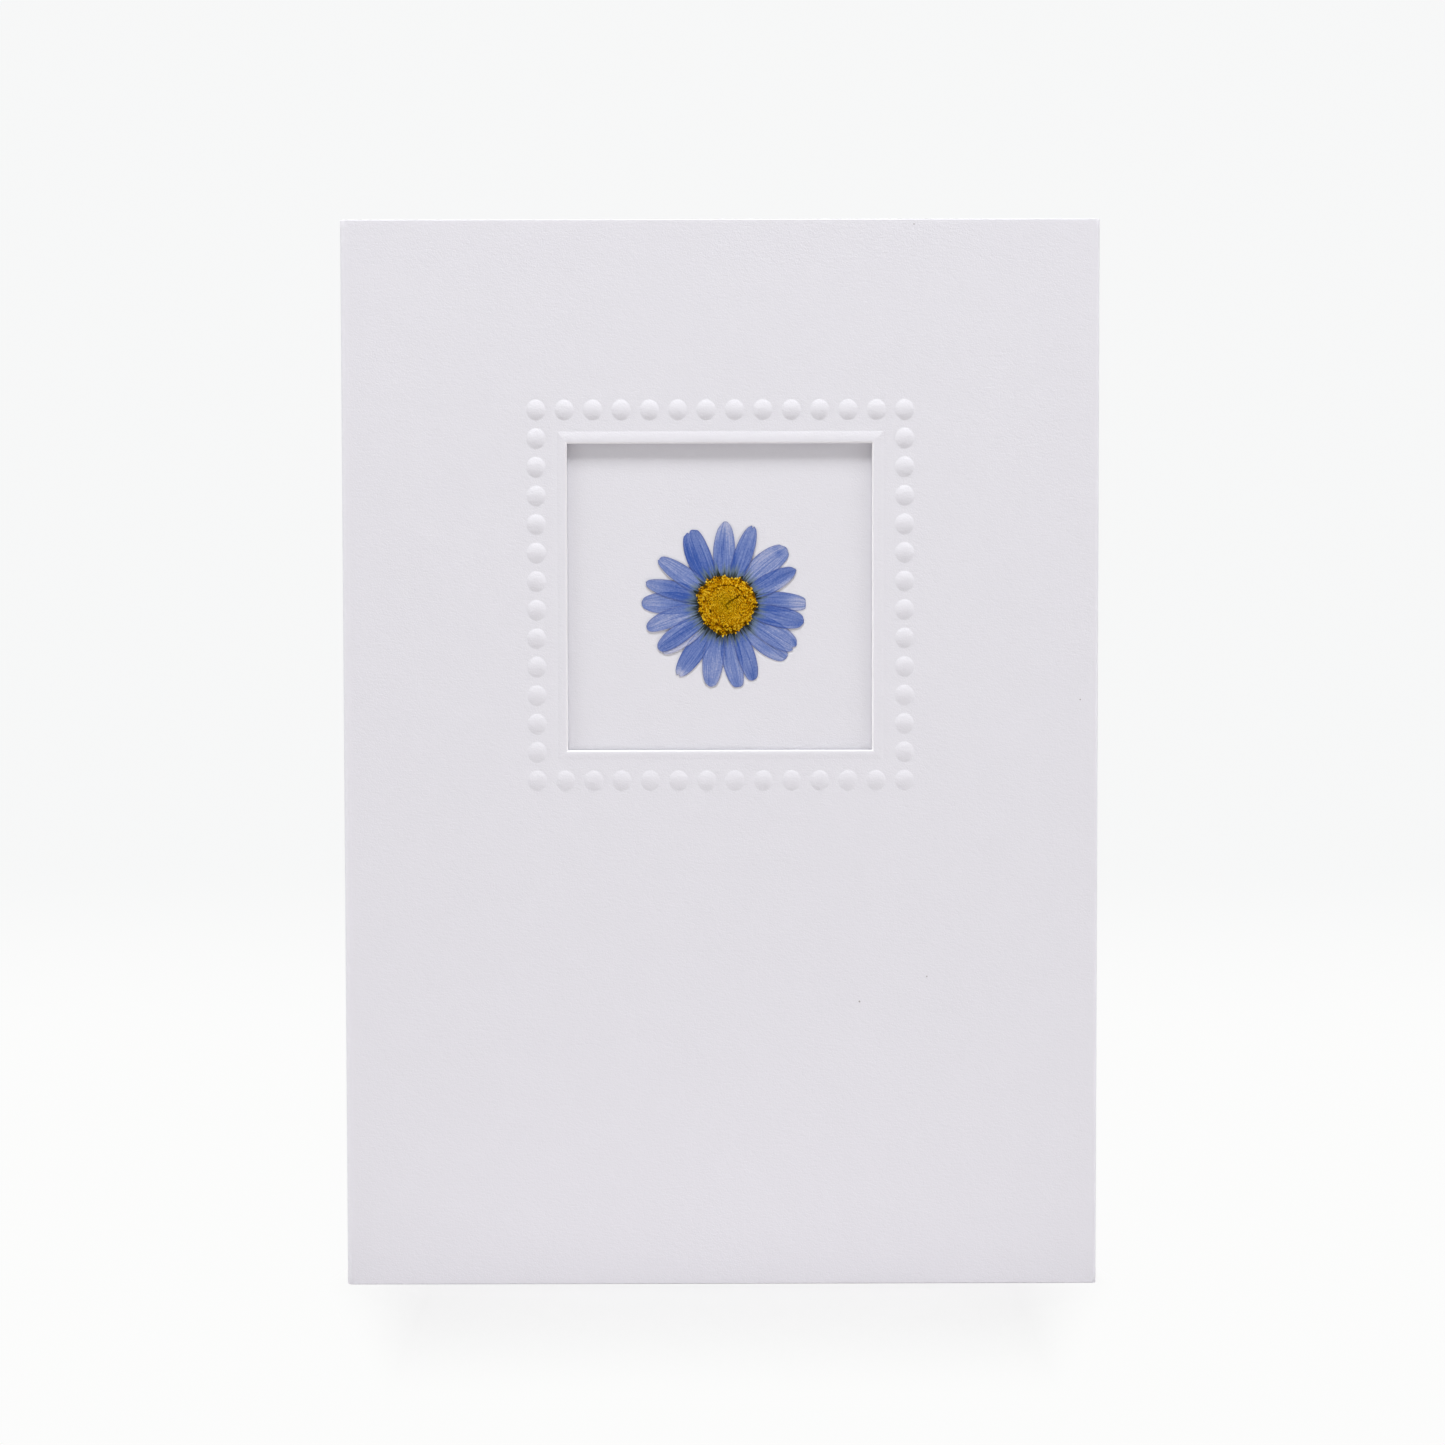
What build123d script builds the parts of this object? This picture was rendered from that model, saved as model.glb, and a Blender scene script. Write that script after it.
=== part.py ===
from build123d import *

import os
from collections import namedtuple
from math import cos, pi, radians, sin

# Greeting card: one sheet of card folded in three, with an embossed window,
# a panel closed behind it, and a real pressed daisy glued in the window.
# The front panel stands upright and faces -Y, the spine fold is at -X, and the
# back panel runs away behind it. All sizes are in millimetres.

# The sheet
CARD_WIDTH = 105.0
CARD_HEIGHT = 148.5
FLAP_TO_SPINE = 3.0
STOCK = 0.35
SPINE_INSIDE_RADIUS = 0.4
OPENING_ANGLE = 40.0

# The tape that holds the flap shut behind the front
TAPE_THICKNESS = 0.45
TAPE_WIDTH = 8.0
TAPE_INSET = 4.0
TAPE_GAP = 2.0

# The window and its raised rim
WINDOW_WIDTH = 42.25
WINDOW_HEIGHT = 42.7
WINDOW_BELOW_TOP = 52.1
RIM_WIDTH = 1.5
RIM_RISE = 0.12
LIP_RADIUS = 0.2

# The ring of embossed beads, and the flat strip between it and the rim
BEADS_A_SIDE = 14
BEAD_DIAMETER = 2.8
BEAD_RISE = 0.18
STRIP_BESIDE_RIM = 1.585
STRIP_ABOVE_RIM = 1.36

# The flower
FLOWER_RIGHT = 0.7
FLOWER_BELOW_CENTRE = 1.1
BRACT_THICKNESS = 0.08
BRACT_REACH = 4.75
BRACT_COUNT = 21
BRACT_NOTCH = 0.45
PETAL_THICKNESS = 0.1
PETAL_LAYERS = 3
PETAL_INNER_REACH = 2.6
PETAL_ROOT_SHARE = 0.42
CORE_CLEARANCE = 0.05
DISC_DIAMETER = 8.4
DISC_RIM = 0.2
DISC_RISE = 0.5
FLORETS_AROUND = 24
FLORET_NOTCH = 0.3

# Each petal: the bearings of its root and its tip in degrees from +X towards +Z,
# its reach from the flower's centre, its greatest width, how far along that lies,
# how blunt and how pointed the end is, how far the end bulges (or is notched, when
# negative), and the layer that it lies in, counted from the paper outwards.
Petal = namedtuple("Petal", "root tip reach width shoulder blunt point crown layer")
PETALS = [
    Petal(93.0, 90.0, 11.5, 3.15, 0.46, 0.36, 1.2, 0.1, 1),
    Petal(70.0, 70.5, 11.4, 2.6, 0.55, 0.24, 1.2, -0.12, 2),
    Petal(48.5, 42.5, 11.4, 3.4, 0.6, 0.3, 0.9, 0.2, 0),
    Petal(24.5, 26.5, 10.8, 2.8, 0.52, 0.14, 1.2, 0.1, 1),
    Petal(6.0, 1.5, 11.1, 2.4, 0.5, 0.5, 1.2, 0.06, 0),
    Petal(-14.0, -12.5, 11.0, 2.9, 0.62, 0.3, 1.0, 0.15, 2),
    Petal(-30.5, -32.0, 11.25, 3.3, 0.6, 0.4, 1.0, -0.15, 1),
    Petal(-50.0, -42.0, 11.2, 2.7, 0.6, 0.35, 1.1, 0.1, 0),
    Petal(-66.0, -69.8, 11.2, 2.5, 0.6, 0.25, 1.0, 0.05, 1),
    Petal(-86.0, -81.3, 11.7, 2.8, 0.55, 0.34, 1.2, 0.05, 0),
    Petal(-106.0, -101.5, 11.7, 2.95, 0.58, 0.28, 1.1, 0.15, 1),
    Petal(-123.0, -122.5, 11.8, 3.1, 0.58, 0.28, 1.2, -0.12, 0),
    Petal(-136.0, -143.0, 10.9, 2.5, 0.6, 0.35, 1.0, 0.1, 1),
    Petal(-149.0, -146.5, 11.2, 2.65, 0.6, 0.22, 1.1, 0.05, 2),
    Petal(-170.0, -163.3, 11.4, 2.6, 0.58, 0.24, 1.1, 0.06, 1),
    Petal(178.0, 179.0, 11.6, 3.1, 0.56, 0.24, 1.1, 0.1, 0),
    Petal(164.0, 165.0, 11.4, 2.4, 0.56, 0.26, 1.1, 0.08, 1),
    Petal(145.5, 145.5, 11.1, 2.65, 0.5, 0.3, 1.2, 0.08, 2),
    Petal(124.0, 116.0, 11.2, 3.5, 0.58, 0.36, 0.9, -0.1, 0),
]

# Worked out from the sizes above: depths run along +Y, from the front's outer face
FRONT_BACK = STOCK
FLAP_FACE = STOCK + TAPE_THICKNESS
FLAP_EDGE = FLAP_TO_SPINE - CARD_WIDTH / 2
FOLD_RADIUS = (TAPE_THICKNESS + STOCK) / 2
FOLD_OUTSIDE = FOLD_RADIUS + STOCK / 2
SPINE_RADIUS = SPINE_INSIDE_RADIUS + STOCK / 2
SPINE_OUTSIDE = SPINE_INSIDE_RADIUS + STOCK
SPINE_TURN = 180 - OPENING_ANGLE
WINDOW_Z = CARD_HEIGHT - WINDOW_BELOW_TOP
RING_HALF_WIDTH = WINDOW_WIDTH / 2 + RIM_WIDTH + STRIP_BESIDE_RIM + BEAD_DIAMETER / 2
RING_HALF_HEIGHT = WINDOW_HEIGHT / 2 + RIM_WIDTH + STRIP_ABOVE_RIM + BEAD_DIAMETER / 2
FLOWER_Z = WINDOW_Z - FLOWER_BELOW_CENTRE
PETALS_FACE = FLAP_FACE - BRACT_THICKNESS
DISC_FACE = PETALS_FACE - PETAL_LAYERS * PETAL_THICKNESS
TOOL_OVERLAP = min(STOCK, TAPE_THICKNESS) / 4


def folded_sheet():
    """The sheet on edge: flap, fold, front, spine and back, as one strip of even thickness."""
    middle = STOCK / 2
    with BuildLine() as path:
        flap = Line(
            (FLAP_EDGE, FLAP_FACE + middle),
            (CARD_WIDTH / 2 - FOLD_OUTSIDE, FLAP_FACE + middle),
        )
        fold = JernArc(flap @ 1, flap % 1, FOLD_RADIUS, -180)
        front = Line(fold @ 1, (SPINE_OUTSIDE - CARD_WIDTH / 2, middle))
        spine = JernArc(front @ 1, front % 1, SPINE_RADIUS, -SPINE_TURN)
        Line(spine @ 1, spine @ 1 + (spine % 1) * (CARD_WIDTH - SPINE_OUTSIDE))
    return extrude(trace(path.line, STOCK), CARD_HEIGHT)


def rounded_mesa(half_width):
    """Section of the raised ground: an arc up to the rim's crest, level across, and an arc down."""
    outer = half_width + RIM_WIDTH
    radius = (RIM_WIDTH**2 + RIM_RISE**2) / (2 * RIM_RISE)
    with BuildSketch() as section:
        with BuildLine():
            left = RadiusArc((-outer, 0), (-half_width, RIM_RISE), radius)
            level = Line(left @ 1, (half_width, RIM_RISE))
            right = RadiusArc(level @ 1, (outer, 0), radius)
            Polyline(right @ 1, (outer, -TOOL_OVERLAP), (-outer, -TOOL_OVERLAP), left @ 0)
        make_face()
    return section.sketch


def rim_ground():
    """The raised ground with mitred corners: where two crossed sections meet."""
    length = max(WINDOW_WIDTH, WINDOW_HEIGHT) / 2 + 2 * RIM_WIDTH
    middle = (0, 0, WINDOW_Z)
    across = Plane(middle, x_dir=(1, 0, 0), z_dir=(0, 0, -1))
    upright = Plane(middle, x_dir=(0, 0, 1), z_dir=(1, 0, 0))
    lying = extrude(across * rounded_mesa(WINDOW_WIDTH / 2), length, both=True)
    standing = extrude(upright * rounded_mesa(WINDOW_HEIGHT / 2), length, both=True)
    return lying & standing


def bead_centres():
    """Middles of the beads: a ring outside the rim, with each corner bead counted once."""
    last = BEADS_A_SIDE - 1
    for column in range(BEADS_A_SIDE):
        for row in range(BEADS_A_SIDE):
            if column in (0, last) or row in (0, last):
                across, up = 2 * column / last - 1, 2 * row / last - 1
                yield across * RING_HALF_WIDTH, WINDOW_Z + up * RING_HALF_HEIGHT


def bead():
    """One bead: a plug in the sheet, rounded off by a large ball."""
    half = BEAD_DIAMETER / 2
    radius = (half**2 + BEAD_RISE**2) / (2 * BEAD_RISE)
    ball = Pos(0, radius - BEAD_RISE, 0) * Sphere(radius)
    plug = Cylinder(half, BEAD_RISE + 2 * TOOL_OVERLAP, rotation=(90, 0, 0))
    return ball & (Pos(0, -BEAD_RISE / 2, 0) * plug)


def card_sheet():
    """The whole sheet: beads, raised ground hollow behind, and the window with its rounded lip."""
    one_bead = bead()
    beads = [Pos(x, 0, z) * one_bead for x, z in bead_centres()]
    ground = rim_ground()
    window_depth = RIM_RISE + STOCK + 2 * TOOL_OVERLAP
    window = Pos(0, window_depth / 2 - RIM_RISE - TOOL_OVERLAP, WINDOW_Z) * Box(
        WINDOW_WIDTH, window_depth, WINDOW_HEIGHT
    )
    sheet = folded_sheet() + ([ground] + beads) - [Pos(0, STOCK, 0) * ground, window]
    crest = sheet.edges().group_by(Axis.Y)[0]
    return fillet(crest, LIP_RADIUS)


def tape_strips():
    """Strips of double-sided tape between the front's back and the flap: top, bottom and spine side."""
    right = CARD_WIDTH / 2 - FOLD_OUTSIDE - TAPE_INSET
    left = FLAP_EDGE + TAPE_INSET
    low, high = TAPE_INSET, CARD_HEIGHT - TAPE_INSET
    side_low = low + TAPE_WIDTH + TAPE_GAP
    side_high = high - TAPE_WIDTH - TAPE_GAP

    def strip(x0, x1, z0, z1):
        middle = Pos((x0 + x1) / 2, FRONT_BACK + TAPE_THICKNESS / 2, (z0 + z1) / 2)
        return middle * Box(x1 - x0, TAPE_THICKNESS, z1 - z0)

    return {
        "tape_top": strip(left, right, high - TAPE_WIDTH, high),
        "tape_bottom": strip(left, right, low, low + TAPE_WIDTH),
        "tape_spine_side": strip(left, left + TAPE_WIDTH, side_low, side_high),
    }


def flower_plane(depth):
    """A plane across the flower at a depth: x to the right, y up, and its normal to the viewer."""
    return Plane((FLOWER_RIGHT, depth, FLOWER_Z), x_dir=(1, 0, 0), z_dir=(0, -1, 0))


def petal_half_width(petal, share):
    """Half the petal's width at a share of its length: widening to the shoulder, then rounding in."""
    if share <= petal.shoulder:
        growth = sin(pi / 2 * share / petal.shoulder)
        return petal.width / 2 * (PETAL_ROOT_SHARE + (1 - PETAL_ROOT_SHARE) * growth)
    past = (share - petal.shoulder) / (1 - petal.shoulder)
    fall = max(1 - past**2, 0) ** (petal.point / 2)
    return petal.width / 2 * (petal.blunt + (1 - petal.blunt) * fall)


def petal_point(petal, share, side):
    """A point at a share of the petal's length, and so far to the side of its middle line."""
    distance = PETAL_INNER_REACH + (petal.reach - PETAL_INNER_REACH) * share
    bearing = radians(petal.root + (petal.tip - petal.root) * share)
    return (
        distance * cos(bearing) - side * sin(bearing),
        distance * sin(bearing) + side * cos(bearing),
    )


def arcs_through(points):
    """Arcs end to end, each through three of the points in a row."""
    for first in range(0, len(points) - 2, 2):
        ThreePointArc(*points[first : first + 3])


def petal(shape):
    """One petal, cut from a thin flat leaf, lying in its layer: three arcs a side, and its tip."""
    widening = [0, shape.shoulder / 2]
    rounding = [shape.shoulder + (1 - shape.shoulder) * sin(pi / 8 * step) for step in range(5)]
    shares = widening + rounding
    halves = [petal_half_width(shape, share) for share in shares]
    left = [petal_point(shape, share, half) for share, half in zip(shares, halves)]
    right = [petal_point(shape, share, -half) for share, half in zip(shares, halves)]
    tip = petal_point(shape, 1 + shape.crown / (shape.reach - PETAL_INNER_REACH), 0)
    depth = PETALS_FACE - shape.layer * PETAL_THICKNESS
    with BuildSketch(flower_plane(depth)) as outline:
        with BuildLine():
            arcs_through(left)
            if shape.crown > 0:
                ThreePointArc(left[-1], tip, right[-1])
            else:
                Polyline(left[-1], tip, right[-1])
            arcs_through(right)
            Line(right[0], left[0])
        make_face()
    return extrude(outline.sketch, PETAL_THICKNESS)


def flower_bracts():
    """The green cup of bracts under the petals, pressed flat into a ring of points."""
    step = pi / BRACT_COUNT
    reaches = [BRACT_REACH, BRACT_REACH - BRACT_NOTCH] * BRACT_COUNT
    points = [(reach * cos(step * turn), reach * sin(step * turn)) for turn, reach in enumerate(reaches)]
    with BuildSketch(flower_plane(FLAP_FACE)) as outline:
        with BuildLine():
            Polyline(*points, close=True)
        make_face()
    return extrude(outline.sketch, BRACT_THICKNESS)


def flower_disc():
    """The yellow disc: a core down to the bracts under a low cushion with a rim of florets."""
    outer = DISC_DIAMETER / 2
    notch = outer - FLORET_NOTCH
    step = 2 * pi / FLORETS_AROUND
    with BuildSketch(flower_plane(DISC_FACE)) as rim:
        with BuildLine():
            for floret in range(FLORETS_AROUND):
                angles = [step * (floret + share) for share in (0, 0.5, 1)]
                reaches = (notch, outer, notch)
                points = [(reach * cos(a), reach * sin(a)) for reach, a in zip(reaches, angles)]
                ThreePointArc(*points)
        make_face()
    crown_rise = DISC_RISE - DISC_RIM
    radius = (outer**2 + crown_rise**2) / (2 * crown_rise)
    ball = flower_plane(DISC_FACE - DISC_RISE + radius) * Sphere(radius, rotation=(90, 0, 0))
    with BuildSketch(flower_plane(PETALS_FACE)) as core:
        Circle(PETAL_INNER_REACH - CORE_CLEARANCE)
    cushion = extrude(rim.sketch, DISC_RISE) & ball
    return cushion + extrude(core.sketch, PETALS_FACE - DISC_FACE + TOOL_OVERLAP)


def all_nodes():
    """Every piece of the card by its node's name, in the sheet's own place."""
    nodes = {"card_sheet": card_sheet()}
    nodes.update(tape_strips())
    nodes["flower_bracts"] = flower_bracts()
    for number, shape in enumerate(PETALS, start=1):
        nodes[f"petal_{number:02d}"] = petal(shape)
    nodes["flower_disc"] = flower_disc()
    return nodes


def main():
    """Stands the card with the middle of its box over the origin, and writes each piece."""
    nodes = all_nodes()
    box = nodes["card_sheet"].bounding_box()
    to_origin = Pos(-box.center().X, -box.center().Y, -box.min.Z)
    os.makedirs("parts", exist_ok=True)
    for name, solid in nodes.items():
        export_step(to_origin * solid, f"parts/{name}.step")


main()
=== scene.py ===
import math
import random
from collections import namedtuple

import bmesh
import bpy
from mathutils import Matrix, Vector


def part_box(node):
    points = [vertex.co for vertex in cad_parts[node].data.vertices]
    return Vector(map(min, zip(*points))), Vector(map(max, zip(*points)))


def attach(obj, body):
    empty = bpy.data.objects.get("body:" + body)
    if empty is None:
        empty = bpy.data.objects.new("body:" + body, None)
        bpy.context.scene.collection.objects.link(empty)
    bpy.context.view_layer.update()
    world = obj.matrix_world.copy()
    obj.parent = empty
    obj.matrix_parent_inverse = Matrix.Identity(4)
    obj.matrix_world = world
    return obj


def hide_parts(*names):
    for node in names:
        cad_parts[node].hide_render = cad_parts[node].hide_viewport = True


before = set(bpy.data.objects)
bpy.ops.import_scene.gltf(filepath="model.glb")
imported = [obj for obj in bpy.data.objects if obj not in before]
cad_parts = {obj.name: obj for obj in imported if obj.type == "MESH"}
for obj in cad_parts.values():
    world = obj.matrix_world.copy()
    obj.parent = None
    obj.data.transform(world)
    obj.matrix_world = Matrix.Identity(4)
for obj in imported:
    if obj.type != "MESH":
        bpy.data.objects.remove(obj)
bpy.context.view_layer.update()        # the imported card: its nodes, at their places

bl_info = {
    "name": "Pressed flower card",
    "version": (1, 0, 0),
    "blender": (4, 5, 0),
    "location": "3D View > Sidebar > Card",
    "description": "A folded greeting card with an embossed window and a pressed daisy in it",
    "category": "Object",
}

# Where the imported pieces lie, in metres: x to the reader's right, y away from the reader
SHEET_LOW, SHEET_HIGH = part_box("card_sheet")
TAPE_LOW, TAPE_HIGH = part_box("tape_top")
DISC_LOW, DISC_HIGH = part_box("flower_disc")
FRONT_BACK = TAPE_LOW.y
FLAP_FACE = TAPE_HIGH.y
FLOWER_X = (DISC_LOW.x + DISC_HIGH.x) / 2
FLOWER_Z = (DISC_LOW.z + DISC_HIGH.z) / 2
MM = 0.001
UPRIGHT = (math.radians(90), 0, 0)


# Kinds of values that a user can change

def length(name, description, millimetres):
    """A size in metres."""
    return bpy.props.FloatProperty(
        name=name, description=description, default=millimetres / 1000, unit="LENGTH", precision=5
    )


def angle(name, description, degrees):
    """An angle."""
    return bpy.props.FloatProperty(
        name=name, description=description, default=math.radians(degrees), subtype="ANGLE"
    )


def power(name, description, watts):
    """A lamp's power."""
    return bpy.props.FloatProperty(name=name, description=description, default=watts, unit="POWER")


def count(name, description, number, least):
    """A number of like things."""
    return bpy.props.IntProperty(name=name, description=description, default=number, min=least)


def paint(*levels):
    """A colour from its red, green and blue as a screen shows them, 0 to 255."""
    shares = [level / 255 for level in levels]
    return tuple(s / 12.92 if s <= 0.04045 else ((s + 0.055) / 1.055) ** 2.4 for s in shares)


def colour(name, description, value):
    """A colour."""
    return bpy.props.FloatVectorProperty(
        name=name, description=description, default=value, subtype="COLOR", size=3, min=0, max=1
    )


# Sizes and colours

class CardSizes(bpy.types.PropertyGroup):
    """Sizes of the folded sheet."""

    stock: length("Stock", "Thickness of the card stock", 0.35)
    spine_radius: length("Spine radius", "Outside radius of the spine fold", 0.9)
    fold_radius: length("Fold radius", "Outside radius of the fold between front and flap", 0.575)
    flap_to_spine: length("Flap to spine", "How far the flap's free edge stops short of the spine", 3.0)
    opening: angle("Opening", "Angle between the front and the back panel", 40)
    window_width: length("Window width", "Width of the cut window", 42.25)
    window_height: length("Window height", "Height of the cut window", 42.54)
    window_left: length("Window left", "How far left of the embossing the window is cut", 0.12)
    window_low: length("Window low", "How far below the embossing's middle the window is cut", 0.205)
    emboss_below_top: length("Embossing below top", "From the top edge to the embossing's middle", 51.97)
    rim_width: length("Rim width", "Width of the raised rim round the window", 1.5)
    rim_rise_top: length("Rim rise, top", "How high the rim stands above the window", 0.145)
    rim_rise_bottom: length("Rim rise, bottom", "How high the rim stands below the window", 0.03)
    shoulder: length("Shoulder", "How far the rim's crest drops to the window's lower edge", 0.08)
    lip: length("Lip", "Radius of the window's rounded lip", 0.2)
    cut_edge: length("Cut edge", "Radius of the sheet's other cut edges", 0.13)
    bead_pitch_across: length("Bead pitch, across", "From one bead to the next in a row", 3.93)
    bead_pitch_up: length("Bead pitch, up", "From one bead to the next in a column", 3.96)
    bead_width: length("Bead width", "Width of a bead", 2.68)
    bead_height: length("Bead height", "Height of a bead, up the card", 2.9)
    bead_rise_top: length("Bead rise, top", "How far the top beads stand out", 0.22)
    bead_rise_bottom: length("Bead rise, bottom", "How far the bottom beads stand out", 0.152)
    beads_a_side: count("Beads a side", "Beads along each side of the ring", 14, 2)


class FlowerSizes(bpy.types.PropertyGroup):
    """Sizes of the pressed daisy."""

    petal_thickness: length("Petal thickness", "Thickness of a petal", 0.035)
    petals_lift_root: length("Lowest petals, root", "How high the lowest petals lie at their roots", 0.085)
    petals_lift_tip: length("Lowest petals, tip", "How high the lowest petals lie at their tips", 0.02)
    layer_lift_root: length("Layer, root", "From one layer of petals to the next at the roots", 0.07)
    layer_lift_tip: length("Layer, tip", "From one layer of petals to the next at the tips", 0.025)
    petal_curl: length("Petal curl", "How far a petal's end waves up and down", 0.025)
    disc_radius: length("Disc radius", "Mean radius of the disc", 4.05)
    disc_right: length("Disc right", "How far right of the petals' middle the disc lies", 0.1)
    disc_corners: length("Disc corners", "How far the disc's three soft corners stand out", 0.18)
    disc_base: length("Disc base", "How high above the paper the disc begins", 0.08)
    disc_edge: length("Disc edge", "How high above the paper the cushion's edge is", 0.42)
    disc_rise: length("Disc rise", "How far the cushion rises to its middle", 0.3)
    floret_radius: length("Floret radius", "Radius of a floret", 0.116)
    floret_count: count("Florets", "How many florets the disc is made of", 1480, 1)
    frill_count: count("Frill", "How many florets stand round the disc's edge", 96, 1)
    bract_reach: length("Bract reach", "How far out the cup's points reach", 4.75)
    bract_notch: length("Bract notch", "How deep the notches between the cup's points are", 0.45)
    bract_thickness: length("Bract thickness", "Thickness of the cup", 0.06)
    bract_count: count("Bracts", "How many points the cup has", 21, 3)
    tip_length: length("Tip length", "Length of a bract's tip that shows at the disc's edge", 0.9)
    tip_width: length("Tip width", "Width of a bract's tip", 0.38)
    tip_lift: length("Tip lift", "How high above the paper the tips lie", 0.36)


class CardColours(bpy.types.PropertyGroup):
    """Colours of the sheet, of what holds it and of the flower."""

    paper: colour("Paper", "The card's white", (0.853, 0.851, 0.899))
    tape: colour("Tape", "The double-sided tape", (0.78, 0.75, 0.66))
    # Partly the bare fibres of the window's cut lip, partly a painted highlight along that lip
    cut: colour("Cut", "Bare fibres on the window's cut lip", (0.93, 0.92, 0.95))
    speck: colour("Specks", "Specks of dust on the card", (0.3, 0.28, 0.27))
    petal_pale: colour("Petals, pale", "Where a petal took little dye", paint(200, 203, 226))
    petal: colour("Petals", "The petals' usual blue", paint(122, 142, 200))
    petal_deep: colour("Petals, deep", "Where a petal took most dye", paint(56, 90, 173))
    petal_edge: colour("Petals, edge", "Thin outline of a petal", paint(82, 84, 140))
    petal_root: colour("Petals, root", "The petals' greenish roots", paint(110, 128, 130))
    bract: colour("Bracts", "The cup of bracts", paint(34, 42, 34))
    bract_tip: colour("Bracts, tip", "Points of the bracts", paint(40, 46, 36))
    # Painted shade: the disc's darkest colour, standing for the shade deep between the florets; the cushion
    # and the small florets in the clefts take it
    floret_gap_shade: colour("Florets, gaps", "Deep between the florets", paint(84, 58, 4))
    floret_rust: colour("Florets, rust", "Dried edges of the florets", paint(152, 98, 0))
    floret_orange: colour("Florets, orange", "The darkest florets", paint(196, 136, 0))
    floret: colour("Florets", "The florets' usual yellow", paint(222, 175, 20))
    floret_pale: colour("Florets, pale", "The palest florets", paint(244, 210, 64))
    floret_olive: colour("Florets, olive", "The disc's middle", paint(176, 152, 0))


class StageSizes(bpy.types.PropertyGroup):
    """Camera, lamps and floor."""

    lens: bpy.props.FloatProperty(
        name="Lens", description="Focal length of the camera", default=100.0, unit="CAMERA"
    )
    camera_x: length("Camera x", "The camera's place to the right", -1.118)
    camera_y: length("Camera y", "The camera's place in depth", -591.384)
    camera_z: length("Camera z", "The camera's height above the floor", 112.871)
    camera_pitch: angle("Camera pitch", "How far the camera looks down", 3.4894)
    camera_yaw: angle("Camera yaw", "How far the camera is turned to the left", -0.1455)
    camera_roll: angle("Camera roll", "How far the camera's right side is lowered", 0.1024)
    lamp_angle: angle("Lamp angle", "Height of the lamp, from straight ahead of the card", 72.6)
    lamp_distance: length("Lamp distance", "From the window to the lamp", 850)
    lamp_size: length("Lamp size", "Side of the square lamp", 190)
    lamp_power: power("Lamp power", "Power of the lamp", 7.77)
    side_power: power("Side power", "Power of each soft lamp at the sides", 4.1)
    side_size: length("Side size", "Side of each soft lamp at the sides", 700)
    side_distance: length("Side distance", "From the card's middle to each lamp at the sides", 900)
    fill: bpy.props.FloatProperty(
        name="Fill", description="Strength of the even light from all round", default=0.04, min=0
    )
    fill_colour: colour("Fill, colour", "Colour of the even light", (1.0, 0.93, 0.95))
    background: colour("Background", "The pale background", (0.93, 0.935, 0.935))
    floor_glow: colour("Floor, lit", "The floor round the card, as the camera sees it", (0.972, 0.974, 0.970))
    floor: colour("Floor", "The floor near the card, as the camera sees it", (0.605, 0.605, 0.605))
    floor_bounce: colour("Floor, bounce", "The floor as it lights the card", (0.742, 0.712, 0.712))
    # Painted contact shade: a darker floor colour near the card's foot, seen only in the light the floor
    # sends to the card
    floor_contact_shade: colour("Floor, contact", "The floor beside the card, as it lights it", (0.60, 0.575, 0.58))


# Modelling helpers

def choose(*pieces):
    """Selects only these pieces and makes the first one active."""
    bpy.ops.object.select_all(action="DESELECT")
    for piece in pieces:
        piece.select_set(True)
    bpy.context.view_layer.objects.active = pieces[0]


def start_editing(piece, action="DESELECT"):
    """Opens a piece in edit mode with nothing selected, or with all of it."""
    choose(piece)
    bpy.ops.object.mode_set(mode="EDIT")
    bpy.ops.mesh.select_all(action=action)


def stop_editing():
    """Back to object mode."""
    bpy.ops.object.mode_set(mode="OBJECT")


def set_edges(piece, test, state):
    """Selects or lets go of, in edit mode, the edges that pass a test, and counts them."""
    mesh = bmesh.from_edit_mesh(piece.data)
    found = [edge for edge in mesh.edges if test(edge)]
    for edge in found:
        edge.select_set(state)
    bmesh.update_edit_mesh(piece.data)
    return len(found)


def select_edges(piece, test):
    """Selects, in edit mode, only the edges that pass a test."""
    bpy.ops.mesh.select_mode(type="EDGE")
    bpy.ops.mesh.select_all(action="DESELECT")
    if not set_edges(piece, test, True):
        raise RuntimeError(f"{piece.name}: no edge is where one should be selected")


def ends(test):
    """A test that an edge passes when both its ends pass this one."""
    return lambda edge: all(test(vertex.co) for vertex in edge.verts)


def is_open(edge):
    """Whether an edge is on a mesh's border."""
    return len(edge.link_faces) < 2


def extrude(x=0, y=0, z=0):
    """Draws out, in edit mode, the selected edges."""
    bpy.ops.mesh.extrude_edges_move()
    bpy.ops.transform.translate(value=(x, y, z))


def close_shell(piece):
    """Closes an open piece, in edit mode, with one face and turns all its faces outwards."""
    select_edges(piece, is_open)
    bpy.ops.mesh.edge_face_add()
    bpy.ops.mesh.select_all(action="SELECT")
    bpy.ops.mesh.normals_make_consistent(inside=False)


def place_in_mesh(piece):
    """Moves a piece's place, turn and scale into its mesh."""
    choose(piece)
    bpy.ops.object.transform_apply(location=True, rotation=True, scale=True)


def upright_circle(corners, radius, fill_type="NOTHING", y=0):
    """A circle that stands in the front's plane."""
    bpy.ops.mesh.primitive_circle_add(
        vertices=corners, radius=radius, fill_type=fill_type, rotation=UPRIGHT
    )
    piece = bpy.context.active_object
    piece.location.y = y
    place_in_mesh(piece)
    return piece


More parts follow.
